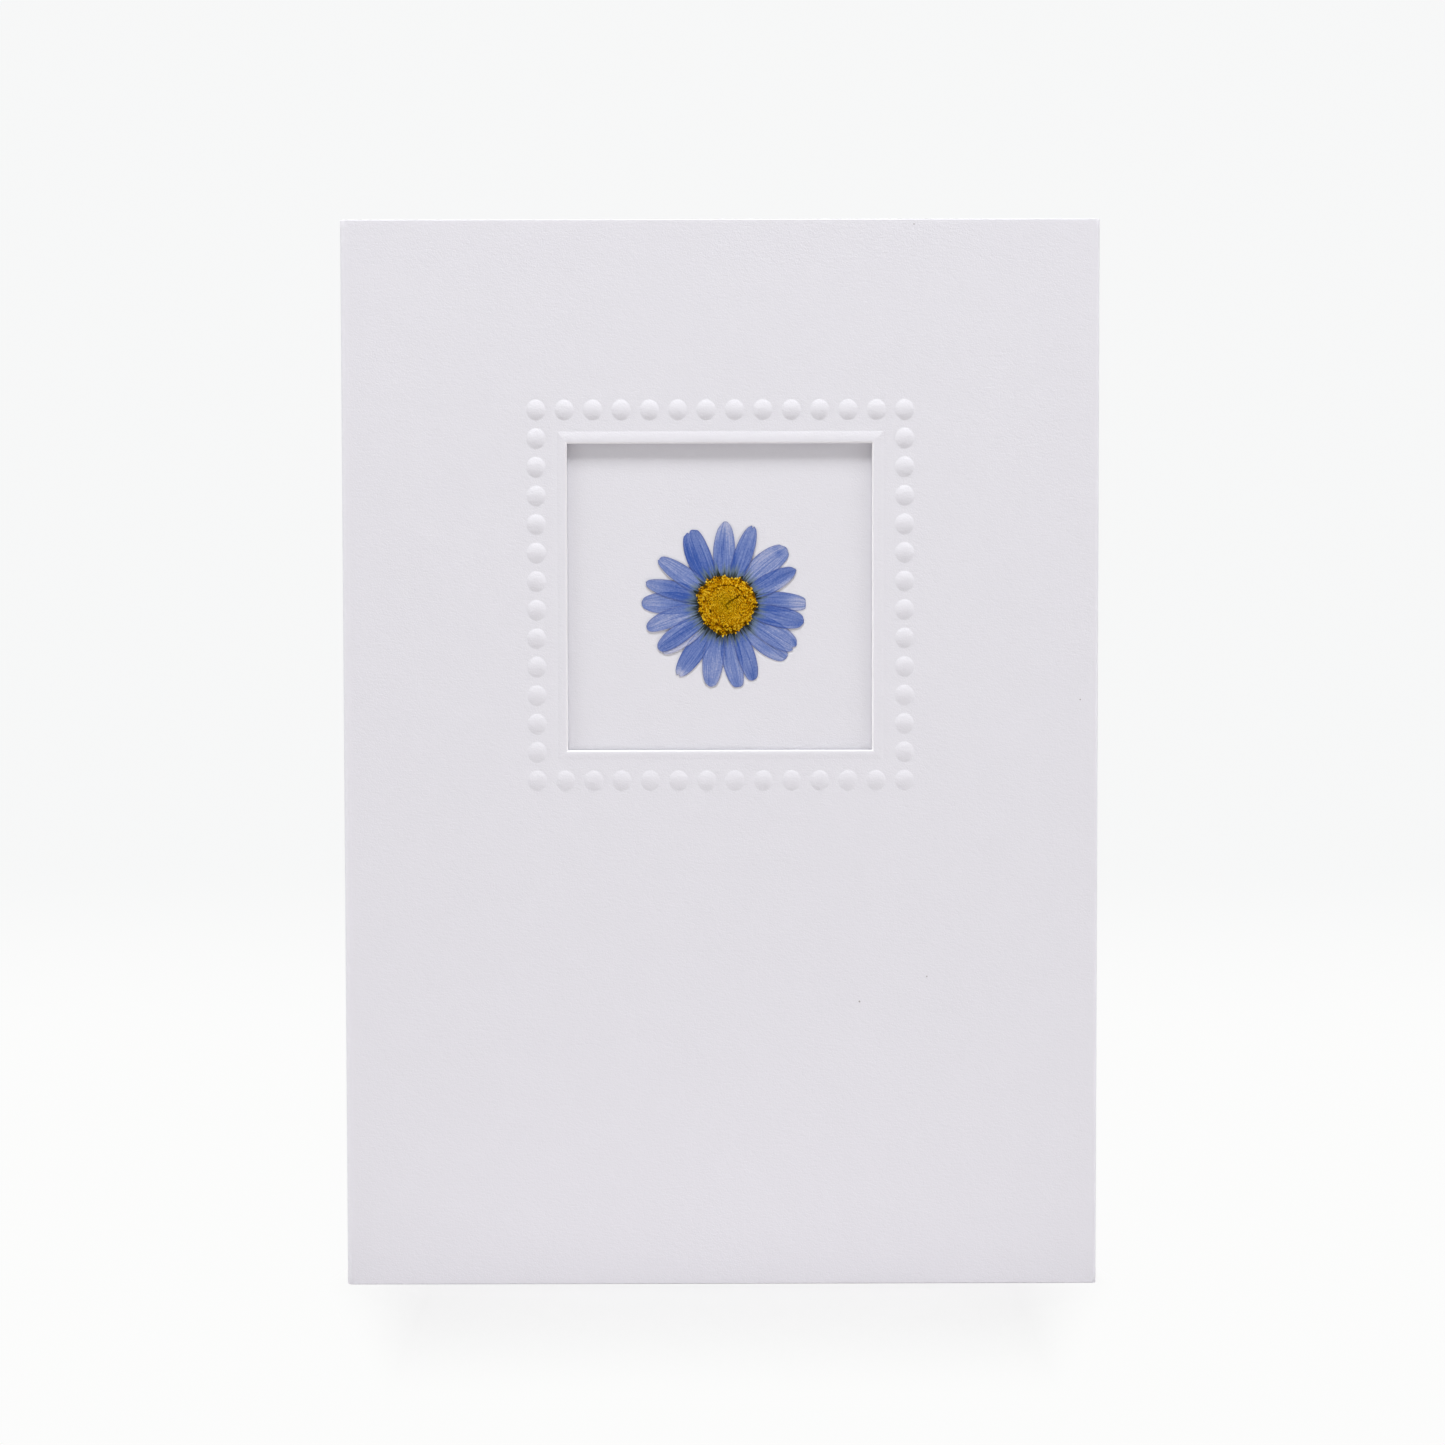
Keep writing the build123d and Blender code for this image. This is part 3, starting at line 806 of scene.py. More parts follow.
# Bearings of root and tip from the right towards the top, reach and greatest width in millimetres,
# how far along the greatest width lies, how blunt and how pointed the end is, the layer from the
# paper outwards, how far the end's edge stands out at seven places from its clockwise corner to
# the other in hundredths of a millimetre, the tone (0 is pale, 1 is deep), how much deeper the end
# is, and soft marks: place across and along, reach across and along, and how much deeper (or paler).
FlowerPetal = namedtuple(
    "FlowerPetal", "root bearing reach width shoulder blunt point layer tip tone end marks"
)
FLOWER_PETALS = [FlowerPetal(*values) for values in (
    (93, 90, 11.45, 3.1, 0.5, 0.3, 1.5, 1, (-22, -2, 5, 8, 6, -2, -22), 0.555, -0.12,
     ((0.2, 0.55, 0.3, 0.35, 0.2), (-0.65, 0.75, 0.35, 0.3, -0.12), (0, 1, 1, 0.12, -0.28))),
    (70, 70.5, 11.4, 2.6, 0.55, 0.24, 1.2, 2, (0, 14, 2, -16, 6, 16, 0), 0.66, -0.16,
     ((0.7, 0.4, 0.25, 0.3, 0.2), (0, 0.25, 0.4, 0.15, 0.1), (-0.7, 0.9, 0.3, 0.12, 0.05))),
    (48.5, 42.7, 11.35, 3.4, 0.6, 0.3, 0.9, 0, (0, 12, 18, 20, 18, 12, 0), 0.39, 0.035,
     ((0.15, 0.88, 0.6, 0.05, 0.25), (0.55, 0.8, 0.2, 0.3, -0.15), (-0.4, 0.6, 0.15, 0.3, 0.12))),
    (24.5, 26.5, 10.8, 2.8, 0.52, 0.14, 1.2, 1, (0, 14, 12, 6, 12, 4, -4), 0.59, 0.055,
     ((0.1, 0.72, 0.4, 0.25, 0.25), (-0.85, 0.75, 0.2, 0.2, -0.45))),
    (6, 0.4, 11.1, 2.75, 0.5, 0.46, 1.2, 0, (0, 3, 6, 7, 5, 3, 0), 0.685, -0.33,
     ((0.3, 0.85, 0.5, 0.2, -0.12), (-0.55, 0.6, 0.08, 0.5, 0.2), (-0.85, 0.8, 0.2, 0.3, -0.2))),
    (-14, -12.8, 11, 2.9, 0.62, 0.3, 1.0, 2, (0, 10, 15, 16, 14, 10, 0), 0.655, -0.04,
     ((-0.4, 0.95, 0.6, 0.08, 0.12), (0.4, 0.55, 0.4, 0.3, 0.12))),
    (-30.5, -32, 11.25, 3.3, 0.6, 0.4, 1.0, 1, (-16, 12, -22, 2, 14, 16, 0), 0.51, -0.06,
     ((0.5, 0.96, 0.4, 0.06, 0.22), (0.1, 0.5, 0.1, 0.4, 0.12), (-0.6, 0.55, 0.3, 0.3, -0.12))),
    (-50, -42, 11.2, 2.7, 0.6, 0.35, 1.1, 0, (0, 8, 10, 10, 5, 5, 0), 0.435, 0.035,
     ((-0.3, 0.65, 0.4, 0.12, 0.15), (0.5, 0.7, 0.3, 0.2, -0.14))),
    (-66, -69.8, 11.2, 2.5, 0.6, 0.25, 1.0, 1, (0, 4, 6, 6, 5, 3, 0), 0.645, -0.135,
     ((0, 0.92, 0.8, 0.12, 0.28), (0.5, 0.55, 0.2, 0.3, -0.08))),
    (-86, -81.3, 11.6, 2.8, 0.55, 0.34, 1.2, 0, (0, 5, 6, 5, 6, 5, 0), 0.585, -0.04,
     ((0.6, 0.7, 0.3, 0.3, -0.1), (-0.2, 0.92, 0.5, 0.1, 0.12))),
    (-106, -100.6, 11.5, 2.95, 0.58, 0.28, 1.1, 1, (0, 10, 15, 16, 14, 10, 0), 0.57, -0.16,
     ((-0.3, 0.93, 0.5, 0.08, 0.22), (0.4, 0.7, 0.3, 0.3, -0.1))),
    (-123, -123.8, 11.8, 2.85, 0.56, 0.26, 1.2, 0, (0, 10, 12, -20, 4, 14, 0), 0.695, -0.14,
     ((0, 0.98, 1, 0.08, -0.5), (-0.8, 0.75, 0.2, 0.2, 0.15))),
    (-138, -144, 11, 2.4, 0.6, 0.35, 1.0, 1, (0, 10, 0, 10, 2, 10, 0), 0.1, 0, ()),
    (-149, -146.5, 11.2, 2.65, 0.6, 0.22, 1.1, 2, (0, 5, 6, 6, 5, 3, 0), 0.57, -0.015,
     ((0.1, 0.65, 0.1, 0.3, 0.25), (0.7, 0.5, 0.2, 0.3, -0.12))),
    (-170, -163.3, 11.4, 2.6, 0.58, 0.24, 1.1, 1, (0, 5, 6, 6, 5, 3, 0), 0.48, -0.03,
     ((0, 0.7, 0.4, 0.2, -0.08), (0, 0.97, 1, 0.05, 0.12))),
    (178, 179, 11.6, 3.1, 0.56, 0.24, 1.1, 0, (0, 6, 10, 10, 8, 6, 0), 0.56, -0.06,
     ((0, 0.85, 0.6, 0.15, -0.06), (0, 0.42, 0.6, 0.2, 0.15))),
    (164, 165, 11.4, 2.5, 0.5, 0.18, 1.2, 1, (6, 15, 8, 2, 5, 2, 0), 0.74, -0.34,
     ((0.3, 0.45, 0.5, 0.2, 0.12),)),
    (145.5, 145.5, 11.1, 2.65, 0.5, 0.28, 1.2, 2, (0, 3, 5, 5, 5, 14, 4), 0.51, -0.035,
     ((-0.2, 0.75, 0.3, 0.25, -0.06), (0.7, 0.5, 0.2, 0.3, 0.1))),
    (124, 116, 11.2, 3.5, 0.58, 0.36, 0.9, 0, (0, 15, 20, 10, -14, 10, 0), 0.865, -0.22,
     ((0.7, 0.75, 0.3, 0.4, 0.2), (-0.65, 0.65, 0.3, 0.3, -0.2), (0.1, 0.5, 0.08, 0.3, 0.15))),
)]
# Where a petal begins in millimetres, its width there as a share of its greatest, and its mesh's size
PETAL_ROOT = 2.6
PETAL_ROOT_SHARE = 0.42
PETAL_ROWS, PETAL_COLUMNS = 46, 14
# How much deeper a petal's root is dyed, and how ragged its sides are in millimetres
ROOT_TONE = 0.1
RAGGED = 0.012
# Where along a petal its cut end, its end's tone, its root's tone and its waves fade in or out
END_EDGE, END_FADE, ROOT_FADE, WAVE_FADE = (0.86, 1), (0.55, 0.95), (0.25, 0.55), (0.45, 1)


def petal_half_width(petal, along):
    """Half a petal's width in millimetres at a share of the way from its root to its tip."""
    if along <= petal.shoulder:
        swell = math.sin(math.pi / 2 * max(along, 0) / petal.shoulder)
        return petal.width / 2 * (PETAL_ROOT_SHARE + (1 - PETAL_ROOT_SHARE) * swell)
    past = min((along - petal.shoulder) / (1 - petal.shoulder), 1)
    return petal.width / 2 * (petal.blunt + (1 - petal.blunt) * (1 - past * past) ** (petal.point / 2))


def petal_axis(petal, along):
    """How far to its left a petal's middle lies in millimetres, from a straight line to its tip."""
    distance = PETAL_ROOT + (petal.reach - PETAL_ROOT) * along
    return distance * math.sin(math.radians((petal.root - petal.bearing) * (1 - along)))


def tip_edge(petal, across):
    """How far the end of a petal stands out in millimetres at a place across it."""
    place = (across + 1) / 2 * (len(petal.tip) - 1)
    left = min(int(place), len(petal.tip) - 2)
    share = place - left
    return (petal.tip[left] * (1 - share) + petal.tip[left + 1] * share) / 100


def petal_height(sizes, petal, distance):
    """How high above the paper a petal's back lies at a distance from the flower's middle."""
    share = within((distance - PETAL_ROOT * MM) / ((petal.reach - PETAL_ROOT) * MM))
    layer = between(sizes.layer_lift_root, sizes.layer_lift_tip, share)
    return between(sizes.petals_lift_root, sizes.petals_lift_tip, share) + petal.layer * layer


def petal_tone(petal, across, along):
    """How deep the dye is at a place on a petal."""
    tone = petal.tone + petal.end * soft(along, *END_FADE) + ROOT_TONE * (1 - soft(along, *ROOT_FADE))
    for mark_across, mark_along, wide, long, change in petal.marks:
        away = ((across - mark_across) / wide) ** 2
        tone += change * math.exp(-away - ((along - mark_along) / long) ** 2)
    return tone


def seen_from(petal, bearing, distance):
    """A place's share across and along another petal, from its bearing and distance in the flower."""
    turn = math.radians(bearing - petal.bearing)
    up, left = distance * math.cos(turn), distance * math.sin(turn)
    along = (up - PETAL_ROOT) / (petal.reach - PETAL_ROOT)
    inside = within(along)
    return (left - petal_axis(petal, inside)) / petal_half_width(petal, inside), along


def petal_piece(sizes, number):
    """One petal: a strip extruded row by row from root to tip, then laid down and given its thickness."""
    petal = FLOWER_PETALS[number]
    step = (petal.reach - PETAL_ROOT) * MM / PETAL_ROWS
    bpy.ops.mesh.primitive_grid_add(x_subdivisions=PETAL_COLUMNS, y_subdivisions=1, size=2, rotation=UPRIGHT)
    piece = bpy.context.active_object
    piece.name = piece.data.name = f"daisy_petal_{number + 1:02}"
    width, middle = petal_half_width(petal, 0) * MM, -petal_axis(petal, 0) * MM
    piece.scale = (width, step / 2, 1)
    piece.location = (middle, 0, PETAL_ROOT * MM + step / 2)
    place_in_mesh(piece)
    start_editing(piece)
    top = PETAL_ROOT * MM + step
    select_edges(piece, ends(lambda co: abs(co.z - top) < step / 10))
    for row in range(1, PETAL_ROWS + 1):
        if row > 1:
            extrude(z=step)
        along = row / PETAL_ROWS
        new_width, new_middle = petal_half_width(petal, along) * MM, -petal_axis(petal, along) * MM
        bpy.ops.transform.resize(value=(new_width / width, 1, 1), center_override=(middle, 0, 0))
        bpy.ops.transform.translate(value=(new_middle - middle, 0, 0))
        width, middle = new_width, new_middle
    stop_editing()
    lay_petal(sizes, piece.data, petal, number)
    piece.rotation_euler = (0, math.radians(90 - petal.bearing), 0)
    piece.location = (FLOWER_X, FLAP_FACE, FLOWER_Z)
    place_in_mesh(piece)
    apply_modifier(piece, "SOLIDIFY", thickness=sizes.petal_thickness, offset=1)
    bpy.ops.object.shade_smooth_by_angle(angle=math.radians(50))
    return piece


def lay_petal(sizes, mesh, petal, number):
    """Cuts the end's edge, lays the petal down in gentle waves and writes its pattern's values."""
    near = [FLOWER_PETALS[(number + step) % len(FLOWER_PETALS)] for step in (-1, 1)]
    places, tones, under = [], [], ([], [])
    chance = random.Random(number)
    wave, phase = chance.uniform(1.2, 2.2), chance.uniform(0, 6.28)
    for vertex in mesh.vertices:
        along = (vertex.co.z / MM - PETAL_ROOT) / (petal.reach - PETAL_ROOT)
        half = petal_half_width(petal, along)
        across = -(vertex.co.x / MM + petal_axis(petal, along)) / half
        edge = tip_edge(petal, across) * soft(along, *END_EDGE)
        edge += chance.uniform(-RAGGED, RAGGED) * soft(abs(across), 0.9, 1)
        vertex.co.z += edge * MM
        rim = min((1 - abs(across)) * half, (1 - along) * (petal.reach - PETAL_ROOT))
        places.extend((across, along, rim))
        tones.append(petal_tone(petal, across, along))
        radius = math.hypot(vertex.co.x, vertex.co.z) / MM
        bearing = petal.bearing - 90 + math.degrees(math.atan2(vertex.co.z, vertex.co.x))
        for values, other in zip(under, near):
            values.extend((*seen_from(other, bearing, radius), float(other.layer < petal.layer)))
        curl = soft(along, *WAVE_FADE) * sizes.petal_curl
        bend = math.sin(wave * math.pi * along + phase) + 0.8 * across * across - 0.4
        vertex.co.y = -petal_height(sizes, petal, radius * MM) - max(curl * bend, -sizes.petals_lift_tip / 2)
    write_values(mesh, "place", "FLOAT_VECTOR", places)
    write_values(mesh, "tone", "FLOAT", tones)
    write_values(mesh, "number", "FLOAT", [float(number)] * len(mesh.vertices))
    write_values(mesh, "under_before", "FLOAT_VECTOR", under[0])
    write_values(mesh, "under_after", "FLOAT_VECTOR", under[1])


class CARD_OT_petals(bpy.types.Operator):
    """Model the pressed petals"""

    bl_idname = "card.petals"
    bl_label = "Petals"

    def execute(self, context):
        material = petal_material(context.scene.card_colours)
        for number in range(len(FLOWER_PETALS)):
            piece = petal_piece(context.scene.card_flower, number)
            finish_piece(piece, material, "petal", f"petal_{number + 1:02}")
        return {"FINISHED"}


# The disc's smaller lobes: how far they stand out as a share of its corners, how many, and their turn
DISC_TURN = math.radians(20)
DISC_LOBES = ((0.45, 7, 1), (0.4, 11, 2.3))
# The cushion under the florets: rings inwards, where its edge is, its dimple's depth and reach, and its tone,
# which paints the shade between the florets, darkest beyond a share of its radius
CUSHION_RINGS = (1.0, 0.97, 0.9, 0.8, 0.68, 0.55, 0.42, 0.3, 0.2, 0.1)
CUSHION_EDGE = 0.97
DIMPLE_DEPTH, DIMPLE_REACH = 0.3, 0.22
CUSHION_SHADE_TONE, TONE_REACH = 0.09, 0.85
# A floret of unit radius and height: its foot, the rings above that, and its top's dimple
FLORET_FOOT, FLORET_RINGS, FLORET_DIMPLE = 0.7, ((1.0, 0.55), (0.72, 0.95)), 0.12
# The turn from one floret to the next, how far a floret tilts either way, and how deep it sits
FLORET_TURN, FLORET_TILT, FLORET_SINK = math.radians(137.508), 0.35, 0.45
# Marks in the disc where florets are missing: ends of short lines from its middle, in millimetres
CLEFTS = [((0.1, 0.1), (0.6, 0.46)), ((0.6, 0.46), (1.8, 1.2)), ((-0.1, -0.1), (0.2, -0.6)),
          ((-2.6, 0.45), (-2.55, 0.5)), ((-3.1, 0.4), (-3.05, 0.45)), ((-2.3, -0.75), (-2.15, -1.05)),
          ((2.45, 1.15), (2.6, 0.95)), ((1.85, -1.3), (1.9, -1.35)), ((-1.35, -2.7), (-1.3, -2.75))]
# The clefts' width and the step between their small florets in millimetres, and their tone, which paints them
# in the darkest gap colour as painted shade
CLEFT_WIDTH, CLEFT_STEP, CLEFT_SHADE_TONE = 0.27, 0.07, -0.15
# Brown arcs in it: their radius in millimetres and their two ends' bearings in degrees
ARCS = [(2.72, 26, 132), (3.12, 240, 292)]
ARC_WIDTH, ARC_TONE = 0.2, 0.1
# Share of the outer florets that have fallen out
FLORETS_LOST = 0.12
# Bearings in degrees at which a dark bract shows in a notch of the disc's edge
BRACT_TIPS = (103, 59, 39, 19, 0, -9, -45, -75, -86, -104, -130, -160, -176, 157, 141)
NOTCH_HALF_ANGLE = 3.2
# How deep the notches and the clefts are, in metres
NOTCH_DEPTH, CLEFT_DEPTH = 0.00045, 0.00001


def disc_reach(sizes, bearing):
    """The disc's uneven radius: three soft corners and some smaller ones."""
    corners = math.cos(3 * (bearing - DISC_TURN))
    small = sum(share * math.sin(lobes * bearing + turn) for share, lobes, turn in DISC_LOBES)
    return sizes.disc_radius + sizes.disc_corners * (corners + small)


def disc_height(sizes, share):
    """How far the cushion stands out at a share of the disc's radius: a low dome with a dimple."""
    rise = sizes.disc_rise * (1 - share ** 4)
    dimple = DIMPLE_DEPTH * sizes.disc_rise * math.exp(-((share / DIMPLE_REACH) ** 2))
    return sizes.disc_edge + rise - dimple


def cushion(sizes):
    """The disc's ground under the florets: a low dome with the disc's uneven outline, painted dark as the
    shade between them.
    """
    rings = [(share, disc_height(sizes, min(share, CUSHION_EDGE))) for share in CUSHION_RINGS]
    piece = dome(72, 1.0, rings, unit=sizes.disc_radius, height=sizes.disc_base)
    close_shell(piece)
    stop_editing()
    for vertex in piece.data.vertices:
        stretch = disc_reach(sizes, math.atan2(vertex.co.z, vertex.co.x)) / sizes.disc_radius
        vertex.co.x *= stretch
        vertex.co.z *= stretch
    # Painted shade between the florets: the cushion takes a dark tone, and the darkest beyond a share of its
    # radius
    edge = TONE_REACH * sizes.disc_radius
    tones = [CUSHION_SHADE_TONE if math.hypot(v.co.x, v.co.z) < edge else 0.0 for v in piece.data.vertices]
    write_values(piece.data, "tone", "FLOAT", tones)
    return piece


def from_line(x, z, line):
    """How far a place lies from a short line."""
    (x0, z0), (x1, z1) = line
    run, rise = x1 - x0, z1 - z0
    share = within(((x - x0) * run + (z - z0) * rise) / (run * run + rise * rise))
    return math.hypot(x - x0 - share * run, z - z0 - share * rise)


def in_notch(sizes, radius, bearing):
    """Whether a place is in a notch of the disc's edge that shows a bract."""
    degrees = math.degrees(bearing)
    nearest = min(abs((degrees - tip + 180) % 360 - 180) for tip in BRACT_TIPS)
    return nearest < NOTCH_HALF_ANGLE and radius > disc_reach(sizes, bearing) - NOTCH_DEPTH


def in_arc(radius, bearing):
    """Whether a place is on one of the brown arcs."""
    degrees = math.degrees(bearing) % 360
    return any(
        abs(radius / MM - arc) < ARC_WIDTH / 2 and first < degrees < last for arc, first, last in ARCS
    )


def small_florets():
    """Places in millimetres and tones of the small dark florets in the clefts and the arcs."""
    for (x0, z0), (x1, z1) in CLEFTS:
        steps = math.ceil(math.hypot(x1 - x0, z1 - z0) / CLEFT_STEP)
        for index in range(steps + 1):
            share = index / steps
            yield between(x0, x1, share), between(z0, z1, share), CLEFT_SHADE_TONE
    for arc, first, last in ARCS:
        steps = math.ceil(math.radians(last - first) * arc / CLEFT_STEP)
        for index in range(steps + 1):
            bearing = math.radians(between(first, last, index / steps))
            yield arc * math.cos(bearing), arc * math.sin(bearing), ARC_TONE


def florets(sizes):
    """Florets in a spiral over the cushion, small ones in its marks and a frill round its edge."""
    model = dome(6, FLORET_FOOT, FLORET_RINGS, dip=FLORET_DIMPLE)
    close_shell(model)
    stop_editing()
    chance = random.Random(11)
    pieces = []

    def plant(radius, bearing, size, stretch, height, tone):
        place = (radius * math.cos(bearing), -height, radius * math.sin(bearing))
        scale = (size * stretch, size * chance.uniform(0.9, 1.4), size)
        turn = (chance.uniform(-FLORET_TILT, FLORET_TILT), -bearing,
                chance.uniform(-FLORET_TILT, FLORET_TILT))
        piece = copy_of(model, place, scale, turn)
        write_values(piece.data, "tone", "FLOAT", [tone] * len(piece.data.vertices))
        pieces.append(piece)

    for index in range(sizes.floret_count):
        share = math.sqrt((index + 0.5) / sizes.floret_count)
        bearing = index * FLORET_TURN
        radius = share * disc_reach(sizes, bearing) * CUSHION_EDGE
        radius += chance.uniform(-0.06, 0.06) * MM
        x, z = radius * math.cos(bearing) / MM, radius * math.sin(bearing) / MM
        in_cleft = min(from_line(x, z, line) for line in CLEFTS) < CLEFT_WIDTH / 2
        if in_cleft or in_notch(sizes, radius, bearing):
            continue
        # The outer florets are larger, a little deeper in tone and more varied
        outwards = soft(share, 0.45, 0.75)
        if chance.random() < FLORETS_LOST * outwards:
            continue
        size = sizes.floret_radius * (0.85 + 0.25 * outwards) * chance.uniform(0.8, 1.2)
        tone = 0.64 - 0.04 * outwards + chance.uniform(-0.23, 0.12) * (1 + 0.9 * outwards)
        if not in_arc(radius, bearing):
            plant(radius, bearing, size, 1.0, disc_height(sizes, share) - size * FLORET_SINK, tone)
    for x, z, tone in small_florets():
        radius = math.hypot(x, z) * MM
        height = disc_height(sizes, radius / sizes.disc_radius) - CLEFT_DEPTH
        tone += chance.uniform(-0.1, 0.1)
        plant(radius, math.atan2(z, x), sizes.floret_radius / 2, 1.0, height, tone)
    for index in range(sizes.frill_count):
        bearing = (index + chance.uniform(-0.4, 0.4)) / sizes.frill_count * 2 * math.pi
        radius = disc_reach(sizes, bearing) + chance.uniform(-0.3, 0.14) * MM
        size = sizes.floret_radius * chance.uniform(0.7, 1.25)
        height = disc_height(sizes, CUSHION_EDGE) * chance.uniform(0.75, 1.0)
        tone = chance.uniform(0.35, 1.0)
        if not in_notch(sizes, radius, bearing):
            plant(radius, bearing, size, chance.uniform(1.0, 1.6), height, tone)
    bpy.data.objects.remove(model)
    return pieces


class CARD_OT_disc(bpy.types.Operator):
    """Model the flower's disc of florets"""

    bl_idname = "card.disc"
    bl_label = "Disc"

    def execute(self, context):
        sizes = context.scene.card_flower
        disc = join([cushion(sizes)] + florets(sizes), "daisy_disc")
        disc.location = (FLOWER_X + sizes.disc_right, FLAP_FACE, FLOWER_Z)
        place_in_mesh(disc)
        bpy.ops.object.shade_smooth_by_angle(angle=math.radians(60))
        finish_piece(disc, disc_material(context.scene.card_colours), "floret", "flower_disc")
        return {"FINISHED"}


def bract_cup(sizes):
    """The cup on the paper: a ring whose outer edge is drawn out into points."""
    radius = sizes.bract_reach - sizes.bract_notch
    cup = upright_circle(2 * sizes.bract_count, radius, "NGON")
    start_editing(cup)
    mesh = bmesh.from_edit_mesh(cup.data)
    bpy.ops.mesh.select_mode(type="VERT")
    for index, vertex in enumerate(mesh.verts):
        vertex.select_set(index % 2 == 0)
    bmesh.update_edit_mesh(cup.data)
    grow = sizes.bract_reach / radius
    bpy.ops.transform.resize(value=(grow, 1, grow), center_override=(0, 0, 0))
    bpy.ops.mesh.select_mode(type="FACE")
    bpy.ops.mesh.select_all(action="SELECT")
    bpy.ops.mesh.inset(thickness=sizes.bract_notch)
    bpy.ops.mesh.inset(thickness=sizes.bract_notch * 2)
    bpy.ops.transform.translate(value=(0, -sizes.bract_thickness, 0))
    stop_editing()
    apply_modifier(cup, "SOLIDIFY", thickness=sizes.bract_thickness / 2, offset=0)
    return cup


def bract_tip(sizes):
    """One pointed bract that stands up between the petals' roots."""
    bpy.ops.mesh.primitive_cone_add(
        vertices=6, radius1=sizes.tip_width / 2, radius2=sizes.tip_width / 8, depth=sizes.tip_length,
        rotation=(0, math.radians(90), 0),
    )
    tip = bpy.context.active_object
    place_in_mesh(tip)
    start_editing(tip)
    end = sizes.tip_length / 2
    select_edges(tip, ends(lambda co: abs(co.x - end) < end / 10))
    bpy.ops.transform.resize(value=(1, 0.3, 0.3), center_override=(end, 0, 0))
    bpy.ops.transform.translate(value=(0, sizes.bract_thickness, 0))
    bpy.ops.mesh.select_all(action="SELECT")
    bpy.ops.mesh.subdivide(number_cuts=1, smoothness=0.6)
    bpy.ops.transform.resize(value=(1, 0.45, 1), center_override=(0, 0, 0))
    stop_editing()
    return tip


class CARD_OT_bracts(bpy.types.Operator):
    """Model the flower's cup of bracts"""

    bl_idname = "card.bracts"
    bl_label = "Bracts"

    def execute(self, context):
        sizes = context.scene.card_flower
        chance = random.Random(5)
        pieces = [bract_cup(sizes)]
        model = bract_tip(sizes)
        for degrees in BRACT_TIPS:
            bearing = math.radians(degrees)
            radius = disc_reach(sizes, bearing) + sizes.tip_length * chance.uniform(0.05, 0.3)
            place = (radius * math.cos(bearing), -sizes.tip_lift, radius * math.sin(bearing))
            turn = (0, -bearing + chance.uniform(-0.25, 0.25), 0)
            scale = (chance.uniform(0.7, 1.2), 1, chance.uniform(0.7, 1.3))
            pieces.append(copy_of(model, place, scale, turn))
        bpy.data.objects.remove(model)
        bracts = join(pieces, "daisy_bracts")
        bracts.location = (FLOWER_X, FLAP_FACE, FLOWER_Z)
        place_in_mesh(bracts)
        bpy.ops.object.shade_smooth_by_angle(angle=math.radians(50))
        finish_piece(bracts, bract_material(context.scene.card_colours), "bract", "flower_bracts")
        return {"FINISHED"}


# Stage

# The floor's radius, and from where to where in depth it pales into the background
FLOOR_RADIUS = 6.0
FLOOR_FADE = 0.2, 0.6
# Its shadow under the card: where it fades out in depth from the front's plane and to the sides,
# how it spreads with depth, and the least share of the lit floor in it
SHADOW_DEPTH = -0.012, 0.072
SHADOW_SIDE = 0.038, 0.056
SHADOW_SPREAD = 0.2
SHADOW_LEAST = 0.35
# How far from the front's plane the floor lights the card less: a painted contact shade on the card's lowest
# strip
CONTACT_SHADE_REACH = 0.016
# Towards the side lamps, for the right-hand one
SIDE_LAMP_WAY = (0.96, -0.2, 0.2)


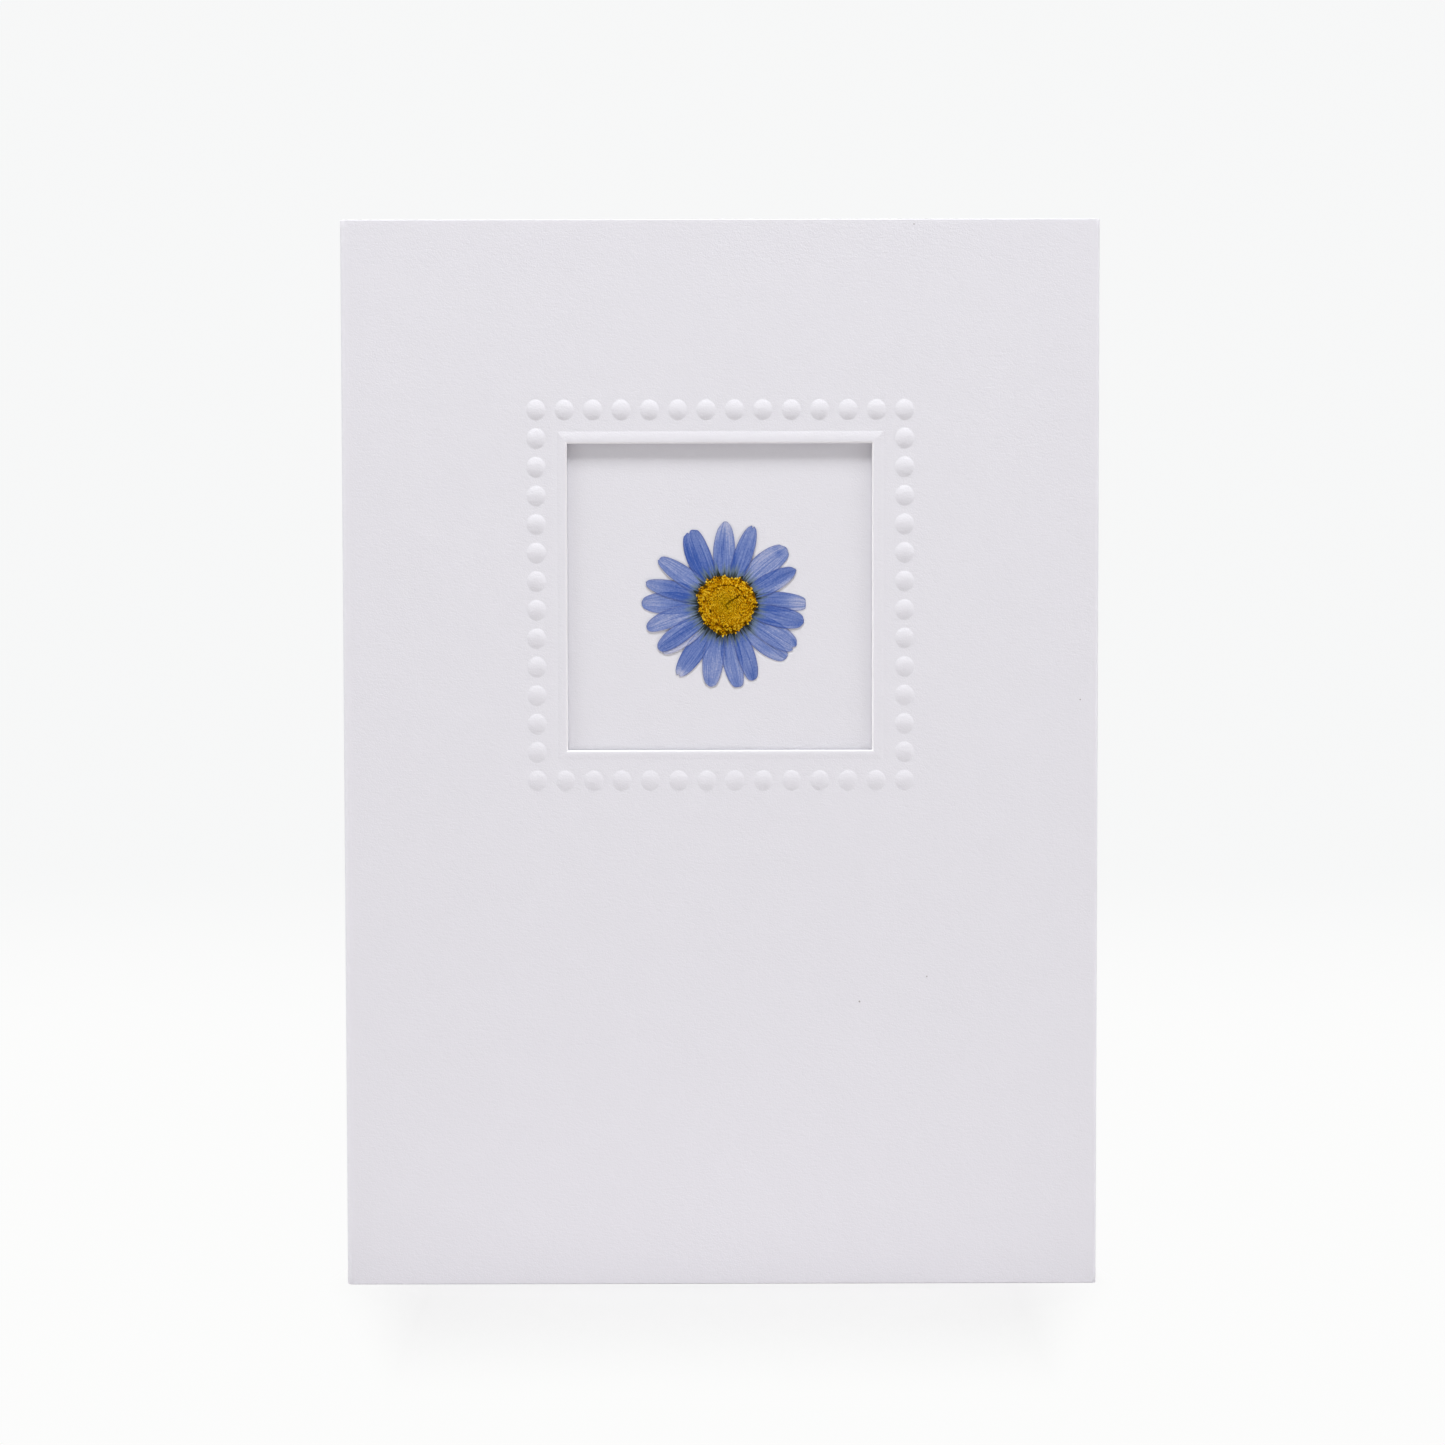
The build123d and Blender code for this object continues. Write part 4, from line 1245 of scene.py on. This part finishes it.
class CARD_OT_stage(bpy.types.Operator):
    """Set the floor, the lamps, the background and the camera"""

    bl_idname = "card.stage"
    bl_label = "Stage"

    def execute(self, context):
        scene = context.scene
        stage = scene.card_stage
        scene.view_settings.view_transform = "Standard"
        self.floor(stage)
        self.background(scene, stage)
        self.lamps(scene, stage)
        self.camera(scene, stage)
        return {"FINISHED"}

    def floor(self, stage):
        """A pale floor that the camera sees lit all over but for the card's soft shadow, with a painted
        contact shade in the light it sends to the card's foot.
        """
        bpy.ops.mesh.primitive_circle_add(vertices=96, radius=FLOOR_RADIUS, fill_type="NGON")
        floor = bpy.context.active_object
        floor.name = floor.data.name = "floor"
        nodes = new_material("floor_white", 0.9, 0.1)
        shader = nodes.tree.nodes[SHADER].outputs[0]
        camera_ray = nodes.add("LightPath", {}, "Is Camera Ray")
        depth = nodes.split(nodes.place())[1]
        glow = nodes.add("Emission", {
            "Color": nodes.mix(nodes.smooth(depth, *FLOOR_FADE), stage.floor_glow, stage.background),
            "Strength": 1.0,
        })
        across, along, _ = nodes.split(nodes.place(location=(0, -SHEET_LOW.y, 0)))
        distance = nodes.math("ABSOLUTE", along)
        side = nodes.math("MULTIPLY_ADD", distance, SHADOW_SPREAD, nodes.math("ABSOLUTE", across))
        lit = nodes.math(
            "MAXIMUM", nodes.smooth(distance, *SHADOW_DEPTH), nodes.smooth(side, *SHADOW_SIDE)
        )
        lit = nodes.math("MULTIPLY_ADD", lit, 1 - SHADOW_LEAST, SHADOW_LEAST)
        # Painted contact shade: near the front's plane the floor lights the card with the darker contact
        # colour
        bounce = nodes.mix(
            nodes.smooth(distance, 0, CONTACT_SHADE_REACH), stage.floor_contact_shade, stage.floor_bounce
        )
        nodes.finish(nodes.mix(camera_ray, bounce, stage.floor))
        share = nodes.math("MULTIPLY", lit, camera_ray)
        nodes.set_named("Material Output", Surface=nodes.add("MixShader", {0: share, 1: shader, 2: glow}))
        floor.data.materials.append(nodes.owner)

    def background(self, scene, stage):
        """Even light from all round, behind a pale background that only the camera sees."""
        scene.world = bpy.data.worlds.new("studio")
        nodes = Nodes(scene.world)
        nodes.set_named("Background", Color=(*stage.fill_colour, 1), Strength=stage.fill)
        fill = nodes.tree.nodes["Background"].outputs[0]
        seen = nodes.add("Background", {"Color": (*stage.background, 1)})
        camera_ray = nodes.add("LightPath", {}, "Is Camera Ray")
        nodes.set_named("World Output", Surface=nodes.add("MixShader", {0: camera_ray, 1: fill, 2: seen}))

    def lamps(self, scene, stage):
        """A square lamp high up in front of the window and a soft one at each side."""
        target = Vector((0, FLAP_FACE, SHEET_HIGH.z - scene.card_sizes.emboss_below_top))
        overhead = Vector((0, -math.cos(stage.lamp_angle), math.sin(stage.lamp_angle)))
        way = Vector(SIDE_LAMP_WAY) * stage.side_distance
        for name, away, size, watts in (
            ("overhead_lamp", overhead * stage.lamp_distance, stage.lamp_size, stage.lamp_power),
            ("left_lamp", way * Vector((-1, 1, 1)), stage.side_size, stage.side_power),
            ("right_lamp", way, stage.side_size, stage.side_power),
        ):
            data = bpy.data.lights.new(name, "AREA")
            data.shape = "SQUARE"
            data.size = size
            data.energy = watts
            lamp = bpy.data.objects.new(name, data)
            lamp.location = target + away
            lamp.rotation_euler = (-away).to_track_quat("-Z", "Y").to_euler()
            scene.collection.objects.link(lamp)

    def camera(self, scene, stage):
        data = bpy.data.cameras.new("camera")
        data.lens = stage.lens
        data.clip_start, data.clip_end = 0.01, 100
        camera = bpy.data.objects.new("camera", data)
        camera.location = (stage.camera_x, stage.camera_y, stage.camera_z)
        camera.rotation_euler = (math.pi / 2 - stage.camera_pitch, stage.camera_roll, stage.camera_yaw)
        scene.collection.objects.link(camera)
        scene.camera = camera


class CARD_PT_pieces(bpy.types.Panel):
    """The card's pieces, in the sidebar"""

    bl_label = "Pressed flower card"
    bl_idname = "CARD_PT_pieces"
    bl_space_type = "VIEW_3D"
    bl_region_type = "UI"
    bl_category = "Card"

    def draw(self, context):
        for operator in OPERATORS:
            self.layout.operator(operator.bl_idname)
        for holder in GROUPS:
            group = getattr(context.scene, holder)
            box = self.layout.box()
            for name in group.bl_rna.properties.keys():
                if name not in ("rna_type", "name"):
                    box.prop(group, name)


GROUPS = {
    "card_sizes": CardSizes,
    "card_flower": FlowerSizes,
    "card_colours": CardColours,
    "card_stage": StageSizes,
}
OPERATORS = (CARD_OT_sheet, CARD_OT_bracts, CARD_OT_petals, CARD_OT_disc, CARD_OT_stage)


def register():
    for name, group in GROUPS.items():
        bpy.utils.register_class(group)
        setattr(bpy.types.Scene, name, bpy.props.PointerProperty(type=group))
    for operator in OPERATORS:
        bpy.utils.register_class(operator)
    bpy.utils.register_class(CARD_PT_pieces)


def unregister():
    bpy.utils.unregister_class(CARD_PT_pieces)
    for operator in reversed(OPERATORS):
        bpy.utils.unregister_class(operator)
    for name, group in GROUPS.items():
        delattr(bpy.types.Scene, name)
        bpy.utils.unregister_class(group)


def main():
    """Registers the classes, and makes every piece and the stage."""
    register()
    bpy.ops.card.sheet()
    bpy.ops.card.bracts()
    bpy.ops.card.petals()
    bpy.ops.card.disc()
    bpy.ops.card.stage()


if __name__ == "__main__":
    main()
